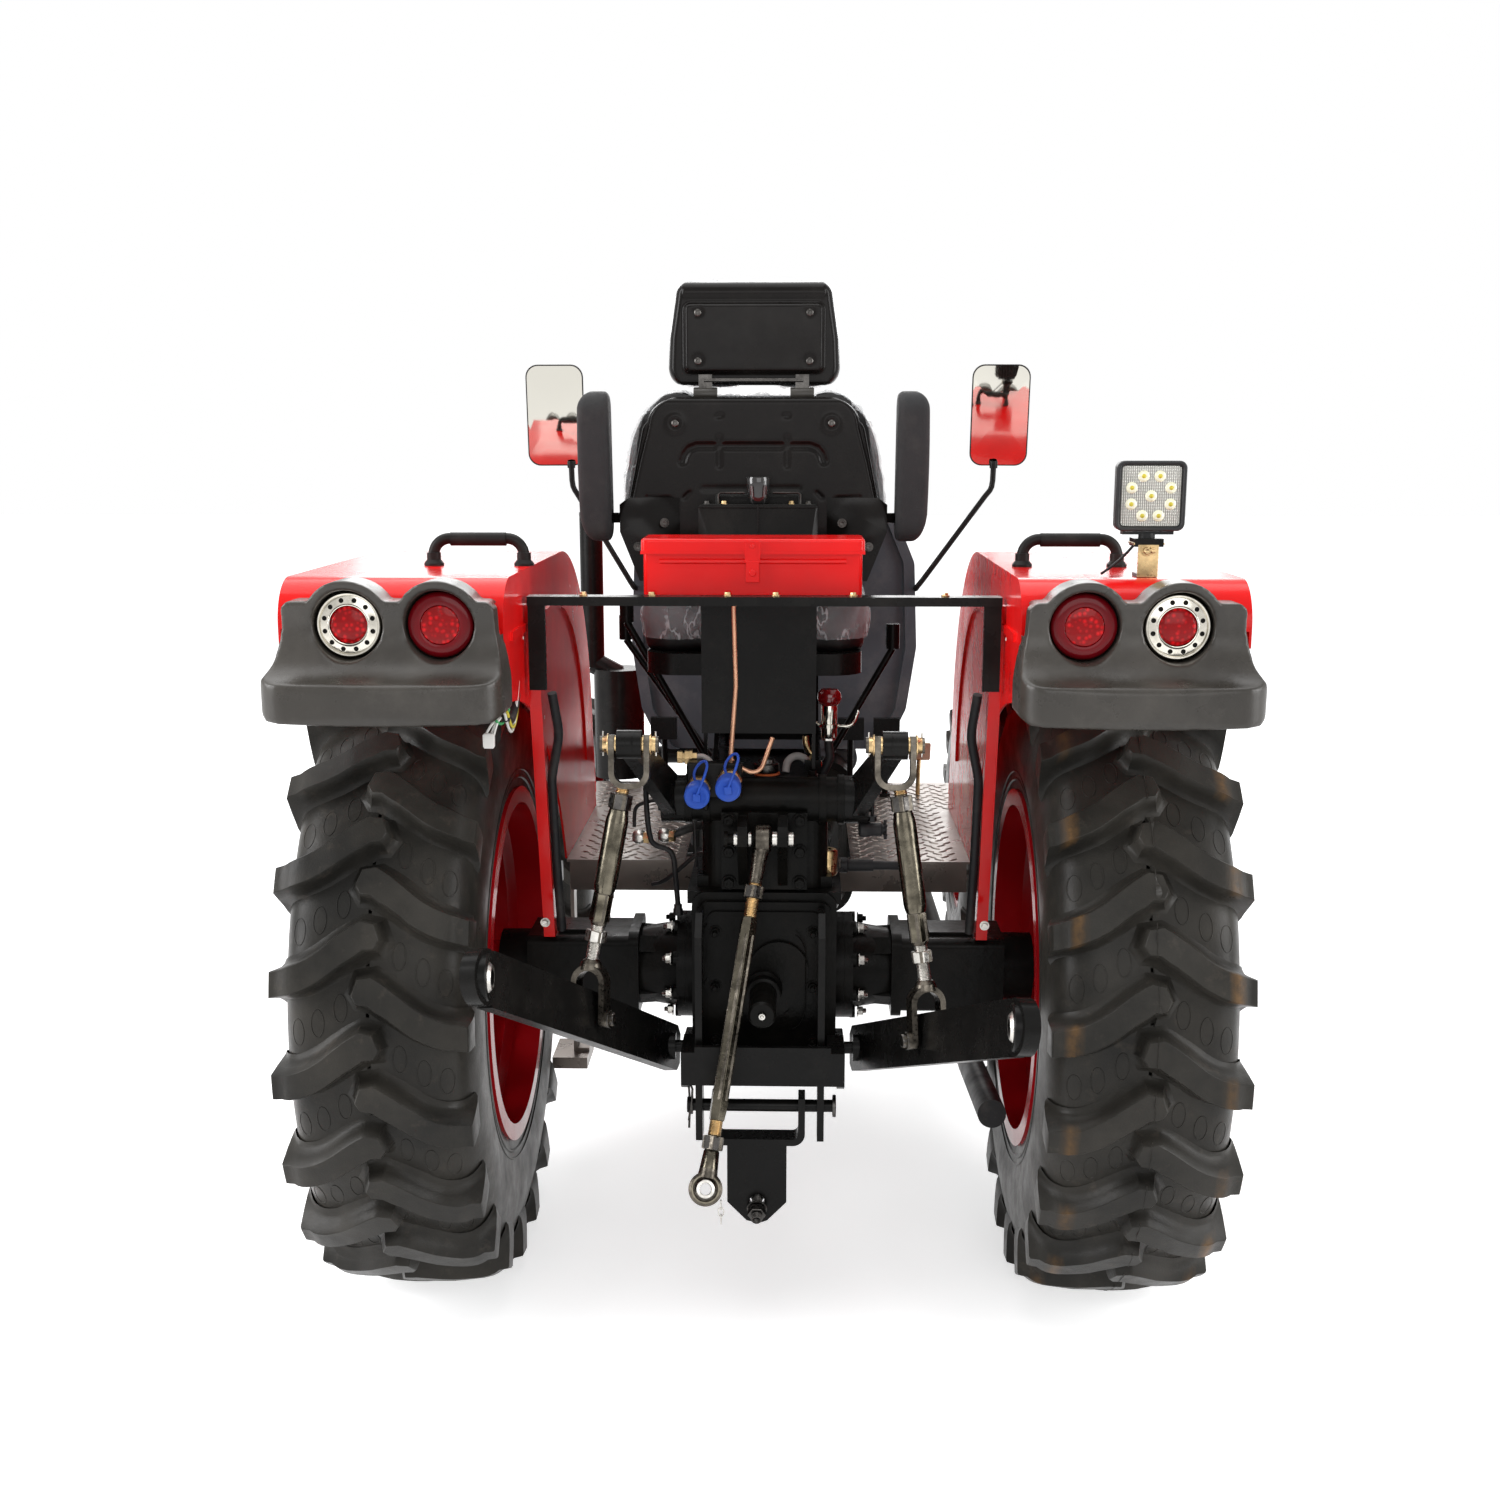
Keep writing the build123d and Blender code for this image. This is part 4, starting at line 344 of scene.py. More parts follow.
def between(a, b, c, d, t):
    """Catmull-Rom value at t on the way from b to c, for numbers or Vectors."""
    return 0.5 * (2 * b + (c - a) * t + (2 * a - 5 * b + 4 * c - d) * t * t + (3 * b - a - 3 * c + d) * t ** 3)


def smooth_curve(points, steps):
    """Points along a curve through the given ones, which are tuples of numbers or Vectors."""
    out = []
    for i in range(len(points) - 1):
        around = [points[max(i - 1, 0)], points[i], points[i + 1], points[min(i + 2, len(points) - 1)]]
        for k in range(steps):
            if isinstance(points[0], tuple):
                out.append(tuple(between(*values, k / steps) for values in zip(*around)))
            else:
                out.append(between(*around, k / steps))
    out.append(points[-1])
    return out


def band(inner, outer, length, start=0):
    """Profile of a plain ring, for Build.lathe."""
    return [(start, inner), (start, outer), (start + length, outer), (start + length, inner)]


def chamfered(inner, edge, outer, chamfer, length, start=0):
    """Profile of a ring or nut with both ends chamfered from the outer radius to the edge radius."""
    end = start + length
    return [(start, inner), (start, edge), (start + chamfer, outer), (end - chamfer, outer), (end, edge),
            (end, inner)]


class Build:
    """Collects turned, swept and lofted shapes into one mesh. Sizes are in millimetres, points from pt()."""

    def __init__(self):
        self.verts, self.faces, self.index = [], [], []

    def rings(self, rings, mat=0, caps=(False, False)):
        """Loft through rings of points, each closed on itself."""
        base, n = len(self.verts), len(rings[0])
        self.verts += [p for ring in rings for p in ring]
        faces = []
        for a in range(len(rings) - 1):
            for k in range(n):
                i, j = a * n + k, a * n + (k + 1) % n
                faces.append((i, j, j + n, i + n))
        if caps[0]:
            faces.append(tuple(range(n - 1, -1, -1)))
        if caps[1]:
            faces.append(tuple(range((len(rings) - 1) * n, len(rings) * n)))
        self.faces += [tuple(base + i for i in f) for f in faces]
        self.index += [mat] * len(faces)

    def lathe(self, base, axis, profile, n=40, mat=0, turn=0.0):
        """Turn a profile of (distance along the axis, radius)."""
        u, v, w = basis(axis)
        rings = []
        for a, r in profile:
            ring = []
            for k in range(n):
                t = 2 * pi * k / n + turn
                ring.append(base + (w * a + (u * cos(t) + v * sin(t)) * max(r, 0.01)) / 1000)
            rings.append(ring)
        self.rings(rings, mat)

    def tube(self, points, radius, n=10, mat=0):
        """Round bar through points, its ends closed."""
        rings, side, r = [], None, radius / 1000
        for i, p in enumerate(points):
            ahead = (points[min(i + 1, len(points) - 1)] - points[max(i - 1, 0)]).normalized()
            if side is None:
                side = basis(ahead)[0]
            side = (side - ahead * side.dot(ahead)).normalized()
            other = ahead.cross(side)
            rings.append([p + (side * cos(2 * pi * k / n) + other * sin(2 * pi * k / n)) * r for k in range(n)])
        self.rings(rings, mat, caps=(True, True))

    def box(self, low, high, mat=0):
        (x0, y0, z0), (x1, y1, z1) = low, high
        corners = [(x0, y0), (x1, y0), (x1, y1), (x0, y1)]
        self.rings([[pt(x, y, z) for x, y in corners] for z in (z0, z1)], mat, caps=(True, True))

    def bolt(self, place, axis, across, high, mat=0, washer=1.3, stud=0.0, turn=0.3):
        """Hexagon head on a washer, with a chamfered top and maybe the end of a stud."""
        r = across / 1.732
        top, ring = 2 + high, r * washer
        self.lathe(place, axis, [(0, ring + 0.3), (1.6, ring + 0.3), (2, ring), (2, r * 0.8)], 24, mat)
        self.lathe(place, axis, [(2, r), (top - 1.2, r), (top, r * 0.88), (top, r * 0.5)], 6, mat, turn)
        if stud:
            turns = [(top - 0.5, r * 0.54)]
            for k in range(int(stud / 1.5)):
                turns += [(top + 0.4 + k * 1.5, r * 0.5), (top + 1.1 + k * 1.5, r * 0.55)]
            self.lathe(place, axis, turns + [(top + 1 + stud, r * 0.42), (top + 1 + stud, 0)], 16, mat)
        else:
            self.lathe(place, axis, [(top, r * 0.52), (top - 0.6, r * 0.4), (top - 0.6, 0)], 16, mat)

    def thread(self, start, run, length, radius, mat=0, pitch=2.5):
        """Turned grooves that read as a screw thread."""
        profile, a = [(0, radius * 0.8)], 0.0
        while a < length - pitch:
            profile += [(a, radius * 0.94), (a + pitch * 0.5, radius * 1.06)]
            a += pitch
        self.lathe(start, run, profile + [(length, radius * 0.94), (length, radius * 0.8)], 24, mat)

    def route(self, points, radius, mat=0):
        """Pipe along a smooth curve through points in millimetres."""
        self.tube(smooth_curve([pt(*p) for p in points], 5), radius, 12, mat)

    def piece(self, name, mats, replaces=(), bevel=0.0, angle=32, body="chassis"):
        mesh = mesh_of(name, self.verts, self.faces, self.index)
        with edited(mesh) as work:
            bmesh.ops.recalc_face_normals(work, faces=work.faces)
        return add_piece(name, mesh, body, mats, replaces, bevel, angle)


def basis(axis):
    """Two unit vectors square to an axis, and the axis itself."""
    w = Vector(axis).normalized()
    u = w.cross(UP)
    if u.length < 0.2:
        u = w.cross(-BACK)
    u.normalize()
    return u, w.cross(u).normalized(), w


@contextmanager
def edited(mesh):
    """A bmesh of the mesh to work on, written back at the end."""
    work = bmesh.new()
    work.from_mesh(mesh)
    yield work
    work.to_mesh(mesh)
    work.free()


def applied(obj):
    """Replace an object's mesh with what its modifiers make of it."""
    mesh = bpy.data.meshes.new_from_object(obj.evaluated_get(bpy.context.evaluated_depsgraph_get()))
    mesh.name = obj.name
    obj.modifiers.clear()
    obj.data = mesh
    return obj


def bare_copy(node):
    mesh = nodes[node].data.copy()
    mesh.materials.clear()
    return mesh


def copied(name, node, body, mat, voxel, smooth, keep=None):
    """Remeshed and softened copy of a CAD node, or of the half of it that keep() picks."""
    mesh = bare_copy(node)
    if keep:
        with edited(mesh) as work:
            bmesh.ops.delete(work, geom=[v for v in work.verts if not keep(v.co)], context="VERTS")
    obj = add_piece(name, mesh, body, [mat], [node], angle=50)
    modify(obj, "REMESH", mode="VOXEL", voxel_size=voxel / 1000, use_smooth_shade=True)
    modify(obj, "SMOOTH", factor=0.5, iterations=smooth)
    return applied(obj)


def cut(obj, tool_build):
    """Cut the shapes of a Build out of a piece."""
    tool = linked("cutter", mesh_of("cutter", tool_build.verts, tool_build.faces))
    modify(obj, "BOOLEAN", object=tool, solver="EXACT")
    applied(obj)
    bpy.data.objects.remove(tool)


def trimmed(name, node, low, high):
    """Copy of a CAD node with everything inside a box cut away."""
    mesh = bare_copy(node)
    with edited(mesh) as work:
        bmesh.ops.remove_doubles(work, verts=work.verts, dist=1e-6)
    obj = add_piece(name, mesh, "chassis", [slot_of[node]], [node], angle=35)
    tool = Build()
    tool.box(low, high)
    cut(obj, tool)


# ---------------------------------------------------------------- tyres

def table_value(table, x):
    if x <= table[0][0]:
        return table[0][1]
    for (x0, y0), (x1, y1) in zip(table, table[1:]):
        if x <= x1:
            return y0 + (y1 - y0) * (x - x0) / (x1 - x0)
    return table[-1][1]


# Everything in millimetres for a model of the rear tyre: carcass and crown as (across, out), lug line and width as
# (across, around). The front tyre scales across, around and up separately.
MODEL_COUNT = 21
MODEL_HALF = 157.8
MODEL_DEPTH = 35                # of a lug
MODEL_TOP, MODEL_SHOULDER, MODEL_BEAD = 580, 500, 305
ARC = 570                       # radius at which lengths around are measured
CARCASS = ((0, 545), (40, 544.2), (80, 541), (108, 534), (128, 521), (141, 501), (149, 476), (153, 448),
           (154, 415), (151, 380), (147, 352), (143.5, 330))
CROWN = ((-30, 579), (0, 580), (60, 578.3), (110, 572.5), (130, 567), (138, 559), (157, 555))
LUG_LINE = smooth_curve(((-22, 2), (0, 4), (25, 17), (45, 31), (63, 45), (80, 57), (101, 68), (130, 78), (157, 84)),
                        6)
LUG_WIDTH = ((0, 51), (60, 50), (100, 46), (157, 43))
LUG_END = 157.0
BASE_TURN = 122.0               # from here out the lug's foot follows the shoulder down
# outward offset, share of the height left along the lug, share of the overhang left at its end
LEVELS = ((-1.6, 1.0, 1.0), (0.0, 0.955, 1.0), (3.6, 0.52, 0.95), (7.0, 0.22, 0.8), (12.0, 0.06, 0.55),
          (18.0, -0.03, -0.05))
OVALS = ((46, 90), (83, 89), (117, 92))
SIDE_RIBS = ((148.5, 362, 2.5, 1.8), (146.2, 348, 4.0, 2.4))


def lug_outline():
    """Closed outline of a lug's top in (across, around) millimetres, and its interior strips."""
    stations = [10 + (LUG_END - 10) * k / 18 for k in range(19)]
    line = lambda a: table_value(LUG_LINE, a)
    half = lambda a: table_value(LUG_WIDTH, a) / 2
    upper = [(a, line(a) - half(a)) for a in stations]
    lower = [(max(a, 4), line(a) + half(a)) for a in stations]
    lower[0] = (4, 28)
    tail = [(LUG_END, upper[-1][1] + (lower[-1][1] - upper[-1][1]) * k / 4) for k in (1, 2, 3)]
    nose = [(-13, 26), (-21, 12), (-12, -13)]
    loop = upper + tail + lower[::-1] + nose
    n = len(stations)
    tops = [(i, i + 1, len(loop) - len(nose) - 2 - i, len(loop) - len(nose) - 1 - i) for i in range(n - 2)]
    last = len(loop) - len(nose) - 1 - (n - 1)
    tops.append((n - 2, n - 1, n, n + 1, n + 2, last, last + 1))
    first_low = len(loop) - len(nose) - 1
    tops.append((0, first_low, *range(first_low + 1, len(loop))))
    return loop, tops


def outline_normals(loop):
    out = []
    for i, p in enumerate(loop):
        a, b = loop[i - 1], loop[(i + 1) % len(loop)]
        u = Vector((p[0] - a[0], p[1] - a[1])).normalized()
        v = Vector((b[0] - p[0], b[1] - p[1])).normalized()
        n = Vector((u.y + v.y, -u.x - v.x))
        n = n.normalized() if n.length > 1e-6 else Vector((u.y, -u.x))
        out.append(n * (1 / max(0.6, n.dot(Vector((u.y, -u.x))))))
    return out


def carcass_at(a):
    return table_value(FINE_CARCASS, abs(a))


FINE_CARCASS = smooth_curve(CARCASS, 5)
FOOT = [p for p in FINE_CARCASS if BASE_TURN <= p[0] <= 150 and p[1] > 470]


def foot_of(a):
    """Where a lug's side meets the carcass, and how far that is towards the lug's end."""
    if abs(a) <= BASE_TURN:
        return abs(a), carcass_at(a), 0.0
    t = min(1.0, (abs(a) - BASE_TURN) / (LUG_END - BASE_TURN))
    k = t * (len(FOOT) - 1)
    i = min(int(k), len(FOOT) - 2)
    p = [FOOT[i][j] + (FOOT[i + 1][j] - FOOT[i][j]) * (k - i) for j in (0, 1)]
    return p[0], p[1], t


class Tyre:
    """A lugged tyre about the X axis: carcass, lugs, oval rings, bead ribs and mould marks."""

    def __init__(self, centre, side, radius, half_width, bead, bead_half, count, depth, phase, stain):
        self.centre, self.side, self.stained = centre, side, stain
        self.across = half_width / MODEL_HALF
        self.around = (2 * pi / count) / (2 * pi / MODEL_COUNT)
        self.radius, self.bead, self.bead_half = radius, bead, bead_half
        self.count, self.phase, self.depth = count, phase, depth
        self.verts, self.faces, self.stain = [], [], []

    def place(self, a, r, turn, stain=0.0):
        """Millimetres across and out, and radians up from the rear, as a vertex."""
        if r > MODEL_SHOULDER:
            out = self.radius - (MODEL_TOP - r) * self.depth / MODEL_DEPTH
        else:
            shoulder = self.radius - (MODEL_TOP - MODEL_SHOULDER) * self.depth / MODEL_DEPTH
            out = self.bead + (r - MODEL_BEAD) * (shoulder - self.bead) / (MODEL_SHOULDER - MODEL_BEAD)
        self.verts.append(self.centre + Vector((a * self.across, -out * cos(turn), out * sin(turn))) / 1000)
        self.stain.append(stain)
        return len(self.verts) - 1

    def skin(self, rows, hand):
        """Faces between strips of vertices, the last strip joined to the first."""
        for here, there in zip(rows, rows[1:] + rows[:1]):
            for i in range(len(here) - 1):
                face = (here[i], here[i + 1], there[i + 1], there[i])
                self.faces.append(face if hand > 0 else face[::-1])

    def carcass(self):
        lip = self.bead_half / self.across
        half = FINE_CARCASS + [(lip + 1.2, 322), (lip + 0.6, 312), (lip, 305.5)]
        section = half + [(-a, r) for a, r in reversed(half[1:])]
        n, mid = self.count * 8, len(half) - 1
        rows = [[self.place(a, r, 2 * pi * k / n) for a, r in section] for k in range(n)]
        for here, there in zip(rows, rows[1:] + rows[:1]):
            self.faces += [(here[i], here[i + 1], there[i + 1], there[i]) for i in range(len(section) - 1)]
            # once more under the rim; the strip on one side of the tread's middle line stays open
            self.faces.append((here[mid + 1], there[mid + 1], there[mid], here[mid]))

    def lug(self, hand, turn):
        loop, tops = lug_outline()
        normals = outline_normals(loop)
        stain = dice.uniform(0.35, 1.0) if self.stained else 0.0
        stain_at = dice.uniform(112, 128)
        wobble = [dice.uniform(-0.5, 0.5) for _ in loop]
        rings = []
        for inset, share, side_share in LEVELS:
            ring = []
            for (a, s), n, w in zip(loop, normals, wobble):
                a_foot, r_foot, t = foot_of(a)
                sign = 1 if a >= 0 else -1
                tail = a >= LUG_END - 0.01
                keep = share + (side_share - share) * (max(0.0, t - 0.55) / 0.45)
                shift = min(inset, 0.0) if tail else n.x * inset
                foot = a_foot * sign if t else a
                across = foot + (a - foot) * keep + shift
                r_top = table_value(CROWN, a)
                r = r_foot + (r_top - r_foot) * share
                aside = n.y * inset if not tail or abs(n.y) > 0.3 else 0.0
                drop = (s + aside + w * (0.4 if inset <= 0 else 1)) * self.around
                mark = stain * max(0.0, 1 - abs(a - stain_at) / 13) if share > 0.9 else 0.0
                ring.append(self.place(hand * across, r, turn - drop / ARC, mark))
            rings.append(ring)
        for up, down in zip(rings, rings[1:]):
            for i in range(len(loop)):
                j = (i + 1) % len(loop)
                face = (up[i], up[j], down[j], down[i])
                self.faces.append(face if hand > 0 else face[::-1])
        for face in tops:
            picked = [rings[0][i] for i in face]
            self.faces.append(picked[::-1] if hand > 0 else picked)

    def oval(self, hand, turn, a, s):
        """Thin raised ring, taller than wide."""
        steps = 26
        rows = []
        for k in range(steps):
            t = 2 * pi * k / steps
            row = []
            for grow, lift in ((-1.1, -0.4), (-0.45, 0.75), (0.45, 0.75), (1.1, -0.4)):
                x = a + (10.5 + grow) * cos(t)
                y = s + (23 + grow) * sin(t)
                row.append(self.place(hand * x, carcass_at(x) + lift, turn - y * self.around / ARC))
            rows.append(row)
        self.skin(rows, hand)

    def ring(self, a, r, width, lift):
        """Concentric rib on the side wall."""
        n = self.count * 6
        for hand in (-1, 1):
            rows = []
            for k in range(n):
                t = 2 * pi * k / n
                rows.append([self.place(hand * (a + da), r + dr, t) for da, dr in (
                    (-0.6, width), (lift, width * 0.5), (lift, -width * 0.5), (-0.6, -width))])
            self.skin(rows, hand)

    def flash(self):
        """Torn line of mould flash along the middle of the tread."""
        n = 900
        rows = []
        for k in range(n):
            t = 2 * pi * k / n
            wave = noise.noise(Vector((t * 30, 0, 3)))
            tear = max(0.0, noise.noise(Vector((t * 9, 5, 1))) - 0.22) * 26
            high = 0.8 + abs(wave) * 2.2 + tear * abs(noise.noise(Vector((t * 160, 1, 7)))) * 1.5
            base = 579.5 if self.nose_here(t) else 544.5
            a = noise.noise(Vector((t * 4, 9, 9))) * 3
            rows.append([self.place(a - 0.6, base - 0.5, t), self.place(a + wave * 2 + tear * 0.6, base + high, t),
                         self.place(a + 0.6, base - 0.5, t)])
        for here, there in zip(rows, rows[1:] + rows[:1]):
            # no flash where the tread steps up onto a lug
            if (self.verts[here[0]] - self.verts[there[0]]).length < 0.02:
                for i in (0, 1):
                    self.faces.append((here[i], here[i + 1], there[i + 1], there[i]))

    def nose_here(self, turn):
        """True where a lug's nose crosses the middle at this angle."""
        pitch = 2 * pi / self.count
        for offset in (0.0, pitch / 2):
            gap = ((self.phase + offset - turn) + pitch / 2) % pitch - pitch / 2
            if -24 / ARC < gap < 30 / ARC:
                return True
        return False

    def build(self, name, node, body, flash=False):
        self.carcass()
        pitch = 2 * pi / self.count
        for k in range(self.count):
            for hand, offset in ((self.side, 0.0), (-self.side, pitch / 2)):
                turn = self.phase + offset + k * pitch
                self.lug(hand, turn)
                for a, s in OVALS:
                    self.oval(hand, turn, a, table_value(LUG_LINE, a) + s)
        for rib in SIDE_RIBS:
            self.ring(*rib)
        if flash:
            self.flash()
        mesh = mesh_of(name, self.verts, self.faces)
        layer = mesh.attributes.new("stain", "FLOAT", "POINT")
        layer.data.foreach_set("value", self.stain)
        return add_piece(name, mesh, body, ["tyre"], [node], angle=38)


# outer radius, half width, bead radius, half width at the beads, lugs on a side, their depth, angle of the first
TYRES = {"rear": (579.6, 157.6, 305.4, 141.5, 21, 35, radians(21.7)),
         "front": (399.6, 102.0, 203.4, 77.5, 17, 27, radians(12))}
for side, s in SIDES:
    for end, sizes in TYRES.items():
        worn = (side, end) == ("right", "rear")
        tyre = Tyre(joint_at(f"{end}_wheel_{side}_spin"), s, *sizes, worn)
        tyre.build(f"{end}_tyre_{side}_lugged", f"{end}_tyre_{side}", f"{end}_wheel_{side}", worn)

# ---------------------------------------------------------------- light pods and tail lamps

FENDER_REAR = -425.0
LAMP_Z = 1262.0
RED_LAMP_X, RINGED_LAMP_X = 488, 628
SCREW_CIRCLE = 0.0381           # radius in metres
# sections as (distance backward, radius)
RINGED = [(0, 46), (0, 50), (15, 50.3), (18.5, 49.6), (20.4, 47.6), (20.2, 45.4), (17.6, 44.2), (18.2, 42),
          (19.2, 34), (19.6, 31.8), (20.6, 30.6), (20.2, 29.4), (17, 28.8), (6, 28.8), (0, 46)]
RINGED_CROWN = [(4, 27), (17, 28.6), (18.6, 27.6), (20.4, 24), (22, 16), (22.8, 8), (23, 0)]
PLAIN = [(0, 46), (0, 50.2), (14, 50.3), (17.2, 49.2), (19.4, 46.4), (20.6, 42), (21.2, 36), (21.2, 31.2),
         (20.6, 30.2), (17, 29.8), (6, 29.8), (0, 46)]
PLAIN_CROWN = [(4, 27), (17, 29.6), (20.4, 29.4), (21, 28.6), (21.2, 28), (21.9, 18), (22.5, 9), (22.7, 0)]


def lamp_part(name, base, profile, n, mat, angle=32):
    part = Build()
    part.lathe(base, BACK, profile, n)
    return part.piece(name, [mat], ["tail_lamps"], angle=angle)


for side, s in SIDES:
    copied(f"light_pod_{side}", "light_pods", "chassis", "pod_plastic", 3.2, 7,
           lambda co, s=s: co.x * s > 0)
for side, s in SIDES:
    base = pt(s * RED_LAMP_X, FENDER_REAR - 30.3, LAMP_Z)
    lamp_part(f"tail_lamp_ring_{side}_red", base, PLAIN, 96, "lamp_dark_red", 40)
    lamp_part(f"tail_lamp_lens_{side}_inner", base, PLAIN_CROWN, 64, "lamp_red", 50)
    base = pt(s * RINGED_LAMP_X, FENDER_REAR - 30.3, LAMP_Z)
    ring = lamp_part(f"tail_lamp_ring_{side}", base, RINGED, 96, "chrome", 40)
    drill = Build()
    for k in range(12):
        t = radians(30 * k + 15)
        drill.lathe(base + Vector((cos(t), 0, sin(t))) * SCREW_CIRCLE, BACK,
                    [(8, 0), (8, 3.6), (24, 3.9), (24, 0)], 20)
    cut(ring, drill)
    lamp_part(f"tail_lamp_cup_{side}", base, [(3, 46), (11, 46), (11, 28)], 48, "black_plastic")
    lamp_part(f"tail_lamp_lens_{side}_outer", base, RINGED_CROWN, 64, "lamp_red", 50)

# ---------------------------------------------------------------- seat cushions, wrapped in clear film

CLOTH_FRAMES = 20
CLOTH_PRESSURE = 4.0
CLOTH_ROOM = 0.002              # that a cushion may stand out of the CAD cushion's box


def swollen(name, node, voxel, soft, cap, crown):
    """Cushion blown up from the CAD one by a short cloth simulation, by cap millimetres at most."""
    low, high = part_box(node)
    obj = copied(name, node, "chassis", "seat_vinyl", voxel, soft)
    rest = [v.co.copy() for v in obj.data.vertices]
    mod = modify(obj, "CLOTH")
    mod.settings.use_pressure = True
    mod.settings.uniform_pressure_force = CLOTH_PRESSURE
    mod.settings.effector_weights.gravity = 0
    mod.settings.quality = 5
    mod.settings.tension_stiffness = 15
    mod.settings.compression_stiffness = 15
    mod.point_cache.frame_start, mod.point_cache.frame_end = 1, CLOTH_FRAMES
    for f in range(1, CLOTH_FRAMES + 1):
        scene.frame_set(f)
    applied(obj)
    scene.frame_set(1)
    for v, was in zip(obj.data.vertices, rest):
        gone = v.co - was
        if gone.length > cap / 1000:
            gone *= cap / 1000 / gone.length
        v.co = was + gone
        v.co += crown(v.co) / 1000
        for i in range(3):
            v.co[i] = min(max(v.co[i], low[i] - CLOTH_ROOM), high[i] + CLOTH_ROOM)
    obj.data.update()
    return obj


CREASES = ((16, 1.0), (38, 0.7), (85, 0.35))    # how close together and how high


def wrap(cushion, name, lift, keep, seed):
    """Clear film over a cushion: its skin moved out a little and gathered into sharp creases."""
    mesh = cushion.data.copy()
    mesh.materials.clear()
    shift = Vector((seed, 0, 0))
    with edited(mesh) as work:
        bmesh.ops.delete(work, geom=[v for v in work.verts if not keep(v.co)], context="VERTS")
        bmesh.ops.subdivide_edges(work, edges=work.edges[:], cuts=1, use_grid_fill=True)
        work.normal_update()
        for v in work.verts:
            p = v.co
            crease_glint = 0.0
            for k, high in CREASES:
                q = Vector((p.x * k, p.y * k * 0.55, p.z * k * 0.8)) + shift * (k / 10)
                crease_glint += high * (1 - min(1.0, abs(noise.noise(q)) * 3.4)) ** 2
            v.co = p + v.normal * (lift + 2.6 * crease_glint) / 1000
    add_piece(name, mesh, "chassis", ["film"], angle=70)


def bell(d, width):
    """1 at nought, falling away on both sides like a bell."""
    return 2.718 ** (-(d / width) ** 2)


SEAM = 0.006                    # half width of a sewn channel
NO_SHIFT = Vector((0, 0, 0))
seat_low, seat_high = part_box("seat_cushion")
seat_mid = (seat_low + seat_high) / 2


def seat_crown(p):
    """Dip of the seat between its bolsters, with two sewn channels across."""
    if p.z < seat_high.z - 0.03:
        return NO_SHIFT
    across, deep = (p.x - seat_mid.x) / 0.215, (p.y - seat_mid.y) / 0.215
    dish = -7 * max(0.0, 1 - across * across) * max(0.0, 1 - deep * deep * 0.6)
    seam = -6 * bell(abs(p.x - seat_mid.x) - 0.125, SEAM)
    seam += -5 * bell(p.y - seat_mid.y - 0.09, SEAM) * (abs(across) < 0.58)
    return Vector((0, 0, dish + seam))


back_low, back_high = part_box("seat_back_cushion")
back_mid = (back_low + back_high) / 2


def back_crown(p):
    """The back's front face is dished between its bolsters and sewn in two lines."""
    if p.y < back_high.y - 0.03:
        return NO_SHIFT
    across = (p.x - back_mid.x) / 0.2
    seam = 6 * bell(abs(p.x - back_mid.x) - 0.115, SEAM)
    seam += 5 * (abs(across) < 0.56) * sum(bell(p.z - back_low.z - z, SEAM) for z in (0.11, 0.2))
    return Vector((0, -8 * max(0.0, 1 - across * across) - seam, 0))


seat_pad = swollen("seat_cushion_sewn", "seat_cushion", 6, 6, 12, seat_crown)
back_pad = swollen("seat_back_cushion_sewn", "seat_back_cushion", 6, 16, 12, back_crown)
head_pad = swollen("headrest_cushion_sewn", "headrest_cushion", 5, 12, 6, lambda p: NO_SHIFT)
head_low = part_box("headrest_cushion")[0]
wrap(back_pad, "seat_back_film", 1.2, lambda p: p.y > back_low.y + 0.004, 3.1)
wrap(seat_pad, "seat_film", 1.2, lambda p: p.z > seat_low.z + 0.02, 8.7)
wrap(head_pad, "headrest_film", 1.0, lambda p: p.y > head_low.y + 0.012, 5.3)

# pressed steel backs of the seat and headrest
SEAT_X = -24
SHEET = 0.0015


def near(p, path):
    """Distance from a point to a line of points."""
    best = 1e9
    for (x0, z0), (x1, z1) in zip(path, path[1:]):
        dx, dz = x1 - x0, z1 - z0
        t = min(1.0, max(0.0, ((p[0] - x0) * dx + (p[1] - z0) * dz) / (dx * dx + dz * dz)))
        best = min(best, hypot(p[0] - x0 - t * dx, p[1] - z0 - t * dz))
    return best


def pressing(name, low, high, half, base, relief, roll, depth, replaces=()):
    """Sheet pressing seen from the back: relief(x, z) stands out of it and its rim rolls forward."""
    rows, cols, verts, faces = int((high - low) / 2.6), 150, [], []
    for i in range(rows + 1):
        z = low + (high - low) * i / rows
        wide = half(z)
        for j in range(cols + 1):
            u = -1 + 2 * j / cols
            edge = min((1 - abs(u)) * wide, high - z, (z - low) * 2 + 2)
            turn = 1 - min(edge, roll) / roll
            x = u * wide
            verts.append(pt(SEAT_X + x, base - relief(x, z) + depth * (1 - sqrt(max(0.0, 1 - turn * turn))), z))
    for i in range(rows):
        for j in range(cols):
            a = i * (cols + 1) + j
            faces.append((a, a + 1, a + cols + 2, a + cols + 1))
    obj = add_piece(name, mesh_of(name, verts, faces), "chassis", ["seat_shell"], replaces, angle=60)
    modify(obj, "SOLIDIFY", thickness=SHEET, offset=-1)
    applied(obj)


def groove(d, width, deep):
    return -deep * max(0.0, 1 - (d / width) ** 2) ** 1.4 if d < width else 0.0


